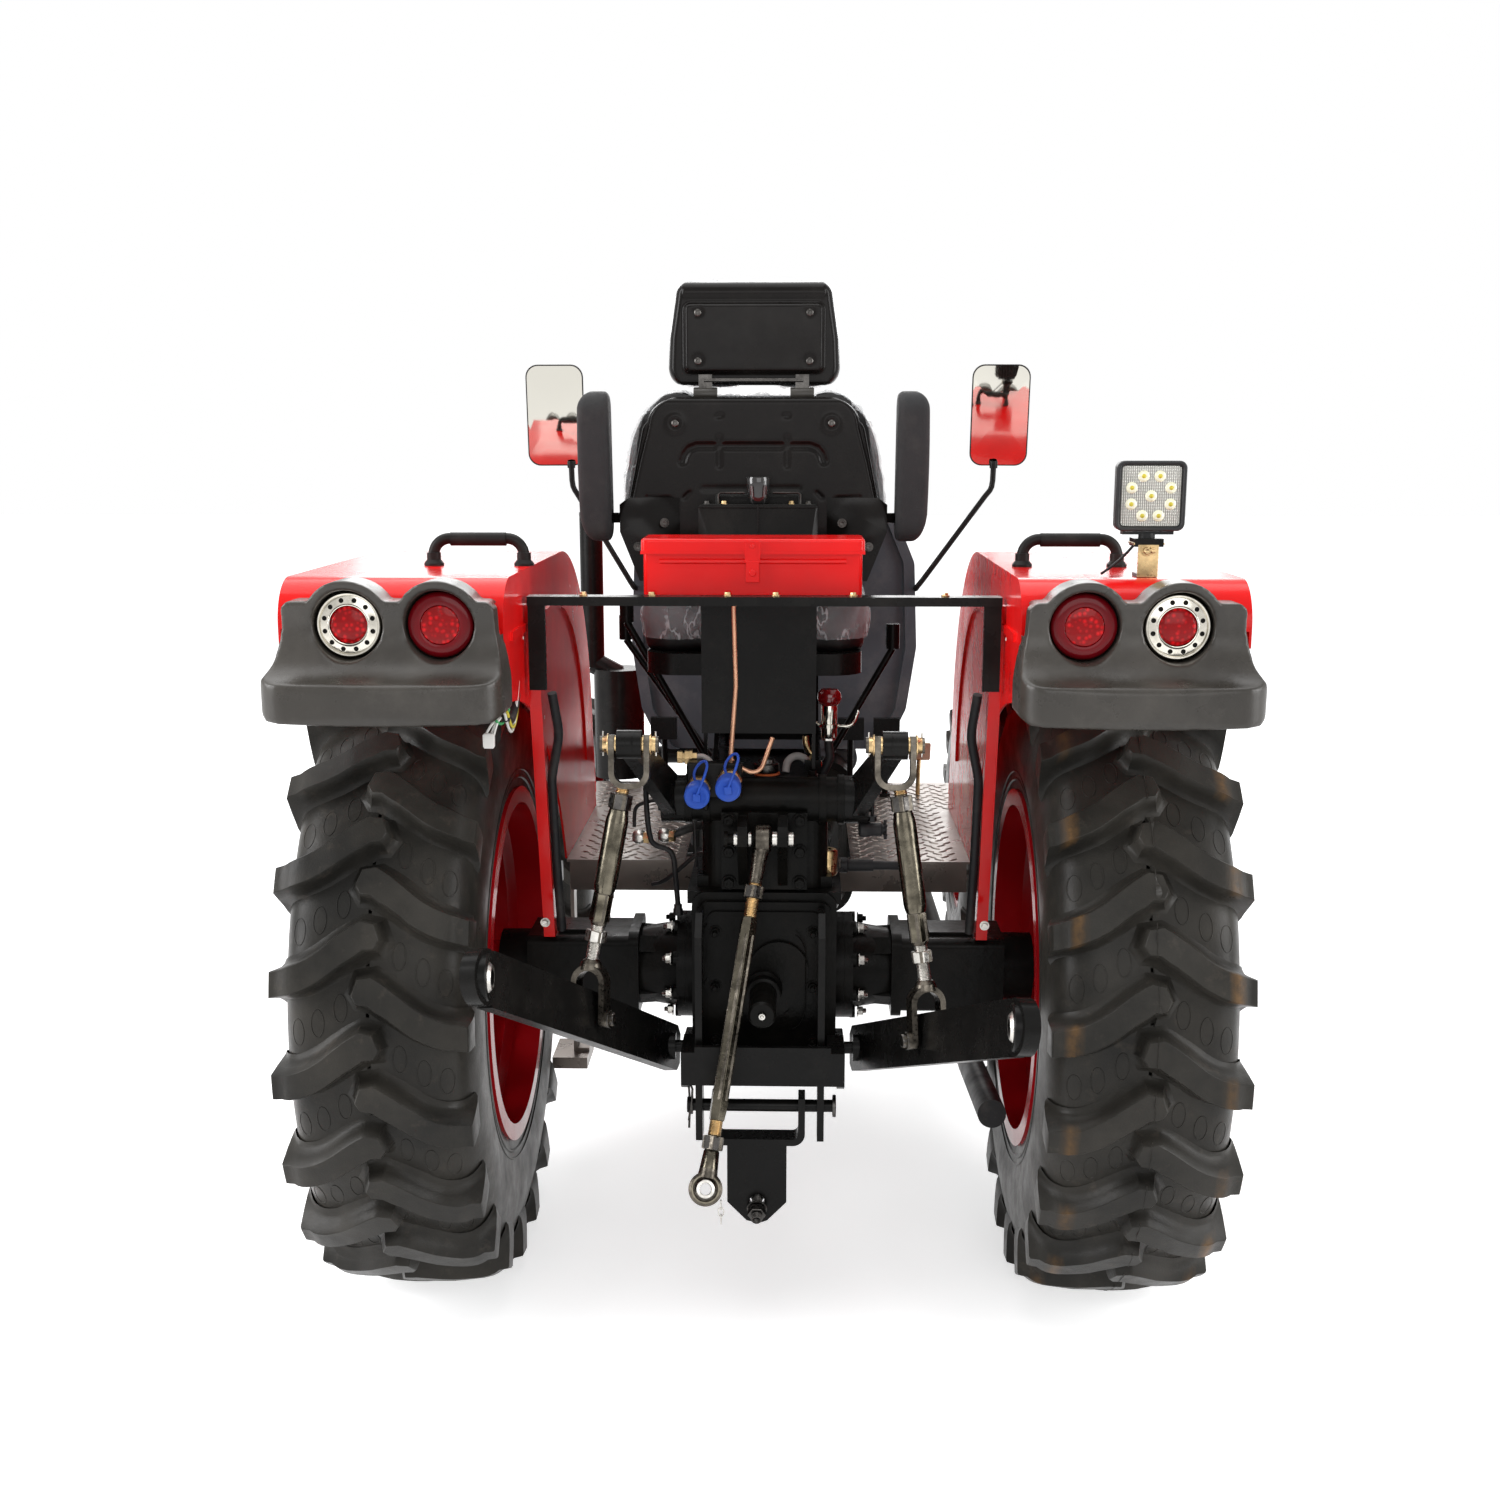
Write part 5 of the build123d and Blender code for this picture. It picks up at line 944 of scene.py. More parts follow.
# pressed grooves: path, half width and depth
GROOVES = []
for s in (-1, 1):
    GROOVES += [(((s * 70, 1526), (s * 100, 1526), (s * 113, 1521), (s * 121, 1511), (s * 125, 1499)), 9, 4.2),
                (((s * 60, 1540), (s * 60, 1492)), 7, 2.2),
                (((s * 188, 1437), (s * 148, 1435), (s * 141, 1428), (s * 140, 1372)), 5, 2.2),
                (((s * 122, 1436), (s * 113, 1445)), 5, 2.4), (((s * 56, 1578), (s * 62, 1577)), 6, 1.8)]
GROOVES += [(((-50, 1526), (50, 1526)), 9, 4.2), (((-88, 1452), (80, 1452)), 8, 1.4)]


def back_relief(x, z):
    out = 0.0
    for path, width, deep in GROOVES:
        if abs(z - path[0][1]) < 80:
            out += groove(near((x, z), path), width, deep)
    ring = hypot(abs(x) - 138, z - 1565)
    if ring < 26:
        out += 2.0 * bell(ring - 13, 4.5) - 1.6 * bell(ring, 6)
    return max(out, -4.2)


def back_half(z):
    if z > 1560:
        return 131 + 58 * sqrt(max(0.0, 1 - ((z - 1560) / 50) ** 2))
    return table_value(((1300, 196), (1340, 213), (1372, 223), (1404, 224), (1432, 221), (1500, 205), (1560, 189)),
                       z)


def head_half(z):
    if z > 1785:
        return 113 + 27 * sqrt(max(0.0, 1 - ((z - 1785) / 26) ** 2))
    if z < 1664:
        return 128 + 25 * sqrt(max(0.0, 1 - ((1664 - z) / 32) ** 2))
    return table_value(((1664, 153), (1712, 151), (1785, 140)), z)


def head_relief(x, z):
    dx, dz = max(0.0, abs(x) - 112), max(0.0, abs(z - 1713) - 48)
    rise = 1 - min(1.0, max(0.0, (hypot(dx, dz) - 6) / 9))
    out = 11 * rise * rise * (3 - 2 * rise)
    out += 2.4 * bell(z - 1791, 7) * (abs(x) < 125)
    spot = min(hypot(abs(x) - 99, z - 1756), hypot(abs(x) - 99, z - 1673))
    return out - 3.0 * bell(spot, 8.5)


pressing("seat_back_pressing", 1300, 1610, back_half, 21.5, back_relief, 11, 12)
pressing("headrest_pressing", 1632, 1811, head_half, 70.5, head_relief, 14, 21.5, ["headrest_shell"])

# screws and hinge of the back, headrest and brackets
trim = Build()
for s in (-1, 1):
    for z in (1756, 1673):
        trim.lathe(pt(SEAT_X + s * 99, 62.4, z), BACK,
                   [(-1, 6.5), (1.2, 6.2), (2.4, 4.6), (2.8, 2.8), (1.4, 2.4), (1.4, 0)], 20)
    trim.lathe(pt(SEAT_X + s * 138, 22.4, 1565), BACK,
               [(-2, 6.5), (1.4, 6.2), (2.6, 4.6), (3, 2.8), (1.6, 2.4), (1.6, 0)], 20)
    for x, z in ((158, 1392), (206, 1350)):
        trim.bolt(pt(SEAT_X + s * x, 20, z), BACK, 11, 4, washer=1.25)
    trim.lathe(pt(SEAT_X + s * 65, 64, 1616), RIGHT * s,
               [(0, 3), (0, 11), (1.6, 12), (40, 12), (42, 11), (42, 3)], 28, 1)
    low_x, high_x = sorted((SEAT_X + s * 74, SEAT_X + s * 98))
    trim.box((low_x, 58, 1626.5), (high_x, 74, 1650))
trim.tube([pt(SEAT_X - 88, 60, 1640), pt(SEAT_X + 88, 60, 1640)], 4, 14)
trim.piece("seat_back_hardware", ["dark_metal", "pod_plastic"], angle=40)

# ---------------------------------------------------------------- toolbox hasp and switch box

hasp = Build()
hasp.box((-32, -214, 1338), (-6, -208, 1374))
hasp.box((-30, -216, 1306), (-8, -209, 1341))
hasp.lathe(pt(-19, -212, 1322), BACK, [(0, 6.5), (5.5, 6.2), (6.5, 5), (6.5, 0)], 24)
hasp.lathe(pt(-19, -211, 1366), BACK, [(0, 4.5), (4.4, 4), (5, 2.5), (5, 0)], 16)
hasp.piece("toolbox_hasp", ["red_paint"], bevel=0.0012)

box_trim = Build()
for x in (-104, -74, 44, 74):
    box_trim.bolt(pt(x, -14, 1425.5), UP, 8, 4.5, mat=0 if x in (-74, 44) else 1)
for xs in ((-84, -84, -80, -38), (60, 60, 56, 12)):
    box_trim.tube([pt(x, -22, z) for x, z in zip(xs, (1427, 1443, 1446.5, 1446.5))], 1.7, 8, 1)
box_trim.lathe(pt(-14, -20, 1426), UP, [(0, 12), (2, 12), (3, 8), (3, 0)], 24)
box_trim.piece("switch_box_hardware", ["zinc_gold", "dark_metal"], angle=40)
seam = Build()
seam.box((-15.4, -45.2, 1302), (-12.8, -43.8, 1426.9))
seam.box((-119, -45, 1421), (91, -43.9, 1423))
seam.piece("switch_box_seam", ["painted_black"], bevel=0.0004)
knob = Build()
knob.lathe(pt(-14, -20, 1428), UP, [
    (0, 9), (0, 15), (4, 17.6), (12, 18.4), (30, 20.6), (42, 21.6), (45.2, 20.6), (46.2, 17.5), (46.4, 0)], 64)
knob.piece("switch_knob", ["gloss_black"], angle=50)

# the plate ends above the lift housing on two thin legs, and the back's brackets stay out of sight
trimmed("seat_plate_short", "seat_plate", (-150, -125, 900), (130, -59, 1036))
trimmed("seat_back_shell_open", "seat_back_shell", (-320, 8, 1100), (320, 72, 1289))
# ---------------------------------------------------------------- hitch and back of the transmission

LINK_LENGTH = 742
LINK_PIN = (178, -120, 460)     # on the right
LIFT_PIN = (214, -350, 1057)
TOP_PIN = pt(-2, -200, 865.5)
BALL_HALF = 17.7
LINK_POSES = {"left": (radians(26.5), 392), "right": (radians(21.8), 372)}

for side, s in SIDES:
    rise, end_x = LINK_POSES[side]
    pin_x, pin_y, pin_z = LINK_PIN
    reach = sqrt((LINK_LENGTH * cos(rise)) ** 2 - (end_x - pin_x) ** 2)
    pivot = pt(s * pin_x, pin_y, pin_z)
    ball = pt(s * end_x, pin_y - reach, pin_z + LINK_LENGTH * sin(rise))
    link_run = (ball - pivot).normalized()
    fork_pin = pivot + (ball - pivot) * 0.47
    top = pt(s * LIFT_PIN[0], *LIFT_PIN[1:])
    pin_run = Matrix.Rotation(radians(20), 3, "X") @ (RIGHT - link_run * link_run.x).normalized()
    rod_run = (fork_pin - top).normalized()
    fork_run = (rod_run - pin_run * rod_run.dot(pin_run)).normalized()
    fork_top = fork_pin - fork_run * 0.088
    low = top + rod_run * 0.066
    run = (fork_top - low).normalized()
    long = (fork_top - low).length * 1000
    rod_trim = Build()
    rod_trim.thread(low - run * 0.002, run, 17, 10.4)
    rod_trim.lathe(low + run * 0.0155, run, chamfered(12, 17.2, 18.8, 1.5, 25), 6, 1)
    rod_trim.thread(fork_top - run * 0.066, run, 11, 10.4, 2)
    rod_trim.thread(fork_top - run * 0.0385, run, 31, 10.4, 2)
    rod_trim.lathe(fork_top - run * 0.0562, run, chamfered(11, 16.2, 17.8, 1.2, 18.4), 6, 2)
    # the turnbuckle's barrel, drawn in to a hexagonal end
    rod_trim.lathe(low, run, [(40.5, 12), (41, 15.2), (58, 18.2), (64, 18.6), (long - 134, 18.6),
                              (long - 126, 17.6), (long - 118.4, 15.4), (long - 118.4, 12)], 48, 3)
    rod_trim.lathe(low, run, [(long - 118.3, 12), (long - 118, 15.4), (long - 116, 16.6), (long - 74, 16.6),
                              (long - 71.5, 15.4), (long - 71.5, 10)], 6, 3)
    for k in (-1, 1):
        rod_trim.lathe(top + RIGHT * k * 0.0205, RIGHT * k, band(11, 14.2, 3.2), 24)
        rod_trim.lathe(top + RIGHT * k * 0.0333, RIGHT * k,
                       [(0, 12), (0, 17.5), (2.4, 17.5), (2.4, 14), (3, 13.6), (9, 13.2), (13, 11.4), (13, 0)], 24)
        rod_trim.tube([top + Vector((k * 0.0425, 0, z)) for z in (-0.019, 0.0, 0.021)], 1.7, 8, 2)
        rod_trim.bolt(fork_pin + pin_run * k * 0.0345, pin_run * k, 19, 7, 1)
    rod_trim.piece(f"lift_rod_{side}_hardware", ["zinc_gold", "dark_metal", "zinc_bright", "oiled_steel"],
                   bevel=0.0006, angle=35, body=f"lift_rod_{side}")

    # lower link: bare ball, welded ring round it and bands at its two ends
    link_trim = Build()
    link_trim.lathe(ball - RIGHT * BALL_HALF / 1000, RIGHT, [(0, 11.6), (0, 17.4), (6, 23.2), (12, 26.2),
                                                             (23.4, 26.2), (29.4, 23.2), (35.4, 17.4),
                                                             (35.4, 11.6)], 48)
    link_trim.lathe(ball - RIGHT * 0.0142, RIGHT, chamfered(25, 33, 35, 2, 28.4), 48, 1)
    link_trim.lathe(pivot + RIGHT * s * 0.0183, RIGHT * s, band(11.3, 19, 3), 32, 2)
    link_trim.piece(f"lower_link_{side}_ball", ["zinc_bright", "painted_black", "dark_metal"],
                    angle=40, body=f"lower_link_{side}")

# top link: threads, lock nuts, eye face and its chain
top_end = pt(-90, -450, 334)
run = (top_end - TOP_PIN).normalized()
long = (top_end - TOP_PIN).length * 1000
back = (BACK - run * run.dot(BACK)).normalized()
link = Build()
link.thread(TOP_PIN + run * 0.1045, run, 33, 10.8)
link.thread(top_end - run * 0.1125, run, 26, 10.8)
link.thread(TOP_PIN + run * 0.0785, run, 6, 10.6)
link.lathe(TOP_PIN + run * 0.0838, run, chamfered(11, 16.2, 17.9, 1.4, 20.6), 6, 1)
link.lathe(top_end - run * 0.0862, run, chamfered(11, 17.4, 19, 1.4, 22.4), 6, 1)
link.lathe(TOP_PIN, run, [(137, 10.9), (139, 13.6), (150, 14.9), (168.4, 15), (172, 14.9), (long - 150, 14.9),
                          (long - 128, 14.9), (long - 113, 13.4), (long - 111.6, 10.9)], 6, 2)
for k in (-1, 1):
    link.lathe(top_end + back * k * 0.0203, back * k, [(0, 9.9), (0.4, 10.4), (0.2, 14.6), (-0.6, 15.2)], 40, 3)
    link.lathe(top_end + back * k * 0.0122, back * k, [(0, 20.2), (0.4, 20.6), (0.4, 23.6), (-1.5, 24.3)], 40, 2)
link.lathe(top_end - run * 0.0635, run, [(0, 11.6), (2, 13.2), (30, 15.4)], 28, 2)
links = top_end + Vector((0.026, -0.012, -0.014))
for k in range(3):
    hoop, around = [], RIGHT if k % 2 else -BACK
    for i in range(15):
        t = 2 * pi * i / 14
        hoop.append(links + Vector((0, 0, -0.0125 * k - 0.008)) + around * 0.0045 * cos(t) + UP * 0.0082 * sin(t))
    link.tube(hoop, 1.2, 8, 3)
link.piece("top_link_hardware", ["zinc_gold", "dark_metal", "oiled_steel", "zinc_bright"],
           bevel=0.0006, angle=35, body="top_link")

# bolts and studs of the housings
bolts = Build()
for x in (-62, 62):
    for z in (776, 832, 888):
        bolts.bolt(pt(x, -153.6, z), BACK, 17, 9, washer=1.25, turn=x * 0.01 + z)
for x in (-86, 86):
    for z in (490, 590, 690):
        bolts.bolt(pt(x, -165.8, z), BACK, 15, 9, stud=8, turn=x * 0.02 + z)
for s in (-1, 1):
    for k in range(8):
        t = radians(22.5 + 45 * k)
        place = pt(s * 170.6, 86 * cos(t), 580 + 86 * sin(t))
        bolts.bolt(place, RIGHT * s, 15, 9, 1 if k in (2, 3, 4, 5) else 0, stud=5, turn=k)
    bolts.lathe(pt(s * 52, -200, 865.5), RIGHT * s, [(-9, 9.6), (-9, 12.8), (-1, 12.8), (0, 9.6)], 24, 1)
    for y in (-84, 0, 84):
        bolts.bolt(pt(s * 84, y + 30, 947.5), UP, 13, 8)
bolts.lathe(pt(-20, -200, 865.5), RIGHT, band(9.6, 13.5, 4.6, -6), 24, 1)
bolts.lathe(pt(15, -200, 865.5), RIGHT, band(9.6, 13.5, 8), 24, 1)
bolts.lathe(pt(2, -62, 958), UP,
            [(0, 12), (0, 22.5), (2, 23), (14, 23), (16, 21.5), (16, 16), (22, 15), (24, 12), (24, 0)], 12, 2)
bolts.lathe(pt(2, -62, 953), UP, [(0, 20.4), (0, 24), (3, 24), (3.4, 20.4)], 32, 3)
for x, z, r in ((26, 655, 8.5), (34, 552, 10), (52, 604, 7.5)):
    bolts.lathe(pt(x, -165.8, z), BACK,
                [(0, r + 2), (2.5, r + 1), (3, r * 0.7), (9, r * 0.66), (10, r * 0.5), (10, 0)], 24)
bolts.lathe(pt(0, -330, 590), BACK, [(-1, 6), (1.6, 5.4), (1.6, 3.5), (5, 2.6), (6, 0)], 20, 1)
bolts.lathe(pt(0, -211, 590), BACK, [(0, 24), (0, 30), (5, 30), (7, 26), (7, 24)], 48)
bolts.piece("housing_bolts", ["cast_black", "zinc_bright", "dark_metal", "orange_seal"], angle=35)

# edge of the bearing cover
seams = Build()
loop = []
for cx, cz, a0 in ((50, 646, 80), (50, 560, 0)):
    for i in range(9):
        t = radians(a0 - i * 11)
        loop.append(pt(cx + 24 * cos(t), -178.6, cz + 44 * sin(t)))
seams.tube(loop, 1.1, 6)
seams.piece("bearing_cover_seam", ["cast_black"])

# couplers: bracket, plated bodies, blue caps with their straps
COUPLER_FACE = -145.3
STRAP = ((0, 0, 3), (3, -1, 12), (8, 1, 24), (14, 8, 40), (17, 18, 52), (14, 28, 58), (6, 36, 55), (-3, 42, 44),
         (-7, 44, 32), (-5, 43, 22))    # from the cap's face
frame_block = Build()
frame_block.box((-134, COUPLER_FACE - 26, 931), (-38, COUPLER_FACE, 993))
frame_block.box((-107, COUPLER_FACE - 14, 905.2), (-97, COUPLER_FACE - 0.1, 940))
frame_block.piece("coupler_bracket", ["painted_black"], ["hydraulic_couplers"], bevel=0.004)
for i, (x, z) in enumerate(((-113, 952), (-60, 965))):
    base, aim = pt(x, COUPLER_FACE - 25, z), Vector((0, -1, -0.12)).normalized()
    body = Build()
    body.lathe(base, aim, chamfered(12, 20.6, 22, 1.5, 14), 6)
    body.lathe(base, aim,
               [(13.5, 12), (13.5, 17), (22, 17), (22.6, 15.6), (25.4, 15.6), (26, 17), (40, 17), (40, 12)], 40, 1)
    body.piece(f"coupler_{i + 1}_body", ["zinc_gold", "zinc_bright"], ["hydraulic_couplers"], angle=40)
    cap = Build()
    cap.lathe(base, aim, [(34, 17.3), (34, 20), (36, 21.4), (41, 21.9), (57, 22), (60.5, 21.2), (62, 19.4),
                          (62, 16), (61.2, 15), (61.2, 0)], 48)
    cap.lathe(base, aim, [(61, 9.6), (65.6, 9.2), (66.2, 8.4), (66.2, 0)], 4, 0, radians(45 + 6 * i))
    strap = [base + aim * 0.0648 + Vector(p) / 1000 for p in STRAP]
    cap.tube(smooth_curve(strap, 4), 2.4, 10)
    cap.lathe(base, aim, chamfered(17.2, 19.6, 20.2, 1, 6, 27), 36)
    cap.piece(f"coupler_{i + 1}_cap", ["cap_blue"], ["hydraulic_couplers"], angle=40)

# cross pin with its spring clip, and the bolt that hangs in the hitch plate
clip = Build()
clip.tube([pt(-131, -219, 344), pt(-130, -216, 372), pt(-130, -215, 398), pt(-131, -218, 420), pt(-128, -224, 428),
           pt(-124, -228, 420), pt(-125, -230, 400), pt(-128, -230, 380), pt(-131, -229, 362)], 2.0, 10)
clip.lathe(pt(-127, -215, 386), RIGHT, band(11.2, 17, 3), 28)
clip.lathe(pt(122, -215, 386), RIGHT, [(0, 11.2), (0.5, 19.5), (5, 20), (6.4, 19), (6.6, 11)], 32)
clip.piece("cross_pin_clip", ["dark_metal"], angle=40)
hang = Build()
a, aim = pt(-10, -214, 221), Vector((0, -1, -0.36)).normalized()
hang.lathe(a, aim, chamfered(6, 15.5, 16.5, 1, 9), 6)
hang.thread(a + aim * 0.008, aim, 62, 9.2, 0, 2.2)
hang.lathe(a + aim * 0.040, aim, band(8, 18, 2.6), 32)
hang.lathe(a + aim * 0.044, aim, chamfered(8, 15.2, 16.4, 1.2, 14.2), 6)
hang.piece("hitch_plate_bolt", ["dark_metal"], bevel=0.0005, angle=35)

nodes["hook_rod"].data.materials[0] = MAT["copper_wire"]
# the wheels' rims take the darker red as painted shade
for side, _ in SIDES:
    for end in ("rear", "front"):
        nodes[end + "_wheel_" + side].data.materials[0] = MAT["shaded_red"]

# pipes, unions and small fittings round the lift housing
pipes = Build()
pipes.lathe(pt(-160, -38, 684), UP, [(0, 6), (0, 9), (11, 9), (13, 7.5), (20, 7.5), (20, 5)], 6, 0)
pipes.route([(-160, -38, 688), (-160, -40, 704), (-163, -60, 768), (-166, -66, 800), (-176, -70, 815),
             (-200, -74, 826), (-208, -78, 850), (-212, -80, 900), (-214, -70, 960), (-216, -40, 985)], 5, 0)
pipes.route([(-112, -20, 850), (-140, -36, 846), (-164, -44, 838), (-182, -48, 836)], 8)
for x, z in ((-182, 836), (-228, 833)):
    pipes.lathe(pt(x, -50, z), (1, -0.2, 0),
                [(-11, 7), (-11, 9), (-9, 10.4), (-4, 13), (4, 13), (9, 10.4), (11, 9), (11, 7)], 24, 3)
    pipes.lathe(pt(x + 14, -53, z), (1, -0.2, 0), band(7, 11, 10, -5), 6, 1)
pipes.route([(-178, 0, 889), (-200, 2, 890), (-226, 4, 884), (-240, 4, 872), (-242, 0, 840)], 3.5)
pipes.route([(-126, -60, 940), (-127, -62, 880), (-126, -60, 827), (-124, -56, 780)], 2.2)
pipes.route([(-92, -60, 805), (-124, -30, 796), (-160, -10, 762), (-190, 10, 735), (-212, 20, 726)], 4)
# union behind the couplers with its pipe
pipes.lathe(pt(-152, -128, 995), RIGHT, [(0, 6), (0, 11.5), (9, 11.5), (9, 8.5), (13, 8.5), (13, 13), (26, 13),
                                         (26, 9), (34, 9), (34, 5)], 6, 1)
pipes.route([(-122, -128, 995), (-108, -130, 997), (-96, -132, 990), (-86, -136, 976), (-80, -134, 962),
             (-76, -126, 944)], 4.5, 4)
# hose elbows on the right of the cover
pipes.route([(36, -30, 950), (40, -24, 968), (52, -20, 977), (68, -16, 974), (82, -10, 956), (92, -6, 930),
             (94, 0, 905)], 7, 4)
pipes.route([(72, 30, 1006), (73, 30, 992), (80, 30, 976), (93, 28, 966), (98, 26, 946)], 6, 1)
pipes.route([(113, 0, 1012), (114, 0, 992), (116, -2, 972), (108, -4, 952), (98, -6, 934), (94, -4, 912)], 8)
pipes.lathe(pt(114, 0, 1008), UP, [(0, 7), (0, 13), (3, 14.5), (58, 14.5), (62, 13), (62, 7)], 32, 2)
pipes.lathe(pt(114, 0, 1004), UP, band(8, 12, 5), 6, 3)
pipes.lathe(pt(114, 0, 1068), UP, [(0, 8), (0, 15), (4, 19), (12, 22), (22, 21), (29, 15), (31, 0)], 32, 5)
pipes.lathe(pt(114, 0, 1028), UP, band(15, 18, 6), 32, 2)
pipes.route([(128, 0, 1031), (146, -4, 1030), (158, -2, 1036), (164, 8, 1048), (166, 24, 1052)], 3.2, 2)
pipes.route([(100, 0, 1031), (88, -6, 1038), (84, -4, 1052), (86, 6, 1066)], 3.2, 2)
# valve with its wing screw, and the rod down to it
pipes.route([(196, -96, 986), (192, -98, 950), (191, -100, 915), (190, -100, 884)], 3)
pipes.lathe(pt(166, -100, 861), RIGHT,
            [(0, 6), (0, 10), (4, 14), (18, 14), (22, 12), (40, 12), (42, 9), (50, 9), (50, 5)], 24, 0)
pipes.lathe(pt(190, -100, 876), UP, band(5, 8, 10), 6)
for t in (0.3, 1.4, 2.5, 3.6, 4.7, 5.8):
    pipes.tube([pt(211, -100, 861), pt(214, -100 + 17 * cos(t), 861 + 17 * sin(t))], 3, 8)
# canister and cross shaft on the right
pipes.lathe(pt(112, -70, 770), UP, [(0, 8), (0, 16), (4, 18), (44, 18), (48, 15), (48, 8)], 32, 1)
pipes.lathe(pt(138, 0, 770), RIGHT, [(0, 8), (0, 14), (12, 14), (14, 11), (60, 11), (60, 8), (120, 8), (120, 3)],
            24, 0)
pipes.route([(100, -60, 740), (118, -40, 756), (130, -20, 762), (150, -6, 768)], 3.5)
pipes.piece("hydraulic_pipes", ["conduit_rubber", "zinc_gold", "chrome", "zinc_bright", "hose_grey", "dark_red"],
            angle=40)

# ---------------------------------------------------------------- armrests

for side, s in SIDES:
    low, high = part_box(f"armrest_{side}")
    pad = copied(f"armrest_{side}_moulded", f"armrest_{side}", f"armrest_{side}", "foam_skin", 5,
                 8)
    for v in pad.data.vertices:
        up = (v.co.z - low.z) / (high.z - low.z)
        out = (v.co.x - low.x) / (high.x - low.x)
        out = out if s > 0 else 1 - out
        end = max(0.0, (0.2 - up) / 0.2) ** 2 * 15 + max(0.0, (up - 0.88) / 0.12) ** 2 * 13
        belly = 2.5 * sin(pi * up)
        v.co.x -= s * out * (end + 2.5 - belly) / 1000
    pad.data.update()

# ---------------------------------------------------------------- mirrors


def rounded(x, z, r, n=8):
    """Rectangle of these half sizes with rounded corners."""
    points = []
    for cx, cz, a in ((x - r, z - r, 0), (r - x, z - r, 90), (r - x, r - z, 180), (x - r, r - z, 270)):
        for k in range(n + 1):
            t = radians(a + 90 * k / n)
            points.append((cx + r * cos(t), cz + r * sin(t)))
    return points


for side, s, foot_x, knee_x, head_x in (("left", -1, 330, 470, 508), ("right", 1, 335, 505, 520)):
    arm = Build()
    arm.tube([pt(s * foot_x, 1019.5, 1190), pt(s * foot_x, 1008, 1190), pt(s * (foot_x + 1), 1002, 1192),
              pt(s * (foot_x + 4), 1000, 1197)] +
             [pt(s * (foot_x + (knee_x - foot_x) * k / 12), 1000, 1190 + 235 * k / 12) for k in range(1, 12)] +
             [pt(s * (knee_x - 3), 1000, 1419), pt(s * (knee_x + 1), 1000, 1428), pt(s * (knee_x + 3), 1000, 1442),
              pt(s * (knee_x + 4), 1000, 1482)], 6.5, 14)
    arm.lathe(pt(s * (knee_x + 4), 1000, 1470), UP, [(0, 6), (0, 9), (12, 9.6), (16, 9)], 24)
    arm.piece(f"mirror_arm_{side}", ["painted_black"], ["mirrors"], angle=50)
    tilt = Matrix.Rotation(radians(5.5 if s < 0 else 8), 3, "X") @ Matrix.Rotation(radians(-2.0 * s), 3, "Z")
    middle = pt(s * head_x, 1001, 1590)

    def outline(x, z, r, y):
        return [middle + tilt @ Vector((a / 1000, y / 1000, b / 1000)) for a, b in rounded(x, z, r)]

    head = Build()
    head.rings([outline(*ring) for ring in ((66, 114.5, 28, -6.5), (66.5, 115, 28.5, -4), (65, 113.5, 28, 2),
                                            (56, 104, 26, 9), (30, 78, 20, 12))], caps=(False, True))
    head.rings([outline(*ring) for ring in ((66, 114.5, 28, -6.5), (64.6, 113, 27, -7.2), (63, 111.5, 26, -5.8))])
    head.piece(f"mirror_head_{side}", ["black_plastic"], ["mirrors"], angle=50)
    glass = Build()
    steps = []
    for k in range(14):
        shrink = 1 - k / 13 * 0.98
        steps.append([middle + tilt @ Vector((
            x / 1000, (-6.0 - 2.2 * (1 - (x / 66) ** 2 * 0.4 - (z / 115) ** 2 * 0.6)) / 1000, z / 1000))
            for x, z in rounded(63.5 * shrink, 112 * shrink, max(0.5, 26.5 * shrink))])
    glass.rings(steps, caps=(False, True))
    glass.piece(f"mirror_glass_{side}", ["mirror_glass"], ["mirrors"], angle=60)

# ---------------------------------------------------------------- work light: reflector, ribbed cover and nine lamps

LIGHT_X, LIGHT_Z = 605, 1452


def light_ring(half, r, y):
    return [pt(LIGHT_X + x, y, LIGHT_Z + z) for x, z in rounded(half, half, r)]


cover = Build()
cover.rings([light_ring(47, 7, -339.5), light_ring(46, 6, -341.5), light_ring(40, 5, -342.2)], caps=(False, True))
cover.piece("work_light_cover", ["led_lens"], angle=50)
rim = Build()
rim.rings([light_ring(*ring) for ring in ((54, 12, -338), (54, 12, -343.5), (52.6, 11, -345.4), (50, 9, -345.4),
                                          (48, 7.4, -343.6), (47.4, 7, -340))])
rim.box((LIGHT_X - 17, -347.2, 1326.5), (LIGHT_X + 15, -345.2, 1377), 1)
rim.box((LIGHT_X - 22.5, -346.2, 1373.6), (LIGHT_X + 22.5, -298.5, 1386.4), 2)
rim.box((LIGHT_X - 24, -345.9, 1376.5), (LIGHT_X + 24, -299, 1380), 1)
rim.bolt(pt(LIGHT_X - 4, -347, 1368), BACK, 11, 6, 1)
rim.bolt(pt(LIGHT_X + 5, -347, 1369), BACK, 8, 5, 1)
rim.piece("work_light_rim", ["lamp_black", "zinc_gold", "painted_black"], bevel=0.0008, angle=40)
lamps = Build()
for k in range(9):
    t = radians(22.5 + 45 * k)
    x, z = (33 * cos(t), 33 * sin(t)) if k < 8 else (0, 0)
    lamps.lathe(pt(LIGHT_X + x, -341.4, LIGHT_Z + z), BACK, [(0, 9.2), (1.2, 9), (2.4, 7.6), (3.2, 5), (3.6, 0)],
                24)
    lamps.lathe(pt(LIGHT_X + x, -344.6, LIGHT_Z + z), BACK, [(0, 3.6), (0.8, 3.2), (1.4, 0)], 16, 1)
lamps.piece("work_light_leds", ["led", "wire_yellow"], angle=60)
wire = Build()
wire.tube([pt(LIGHT_X - 14 - 56 * k / 16, -330 + 4 * k / 16,
              1384 - 54 * k / 16 - 5 * sin(pi * k / 16)) for k in range(17)], 2.2, 10)
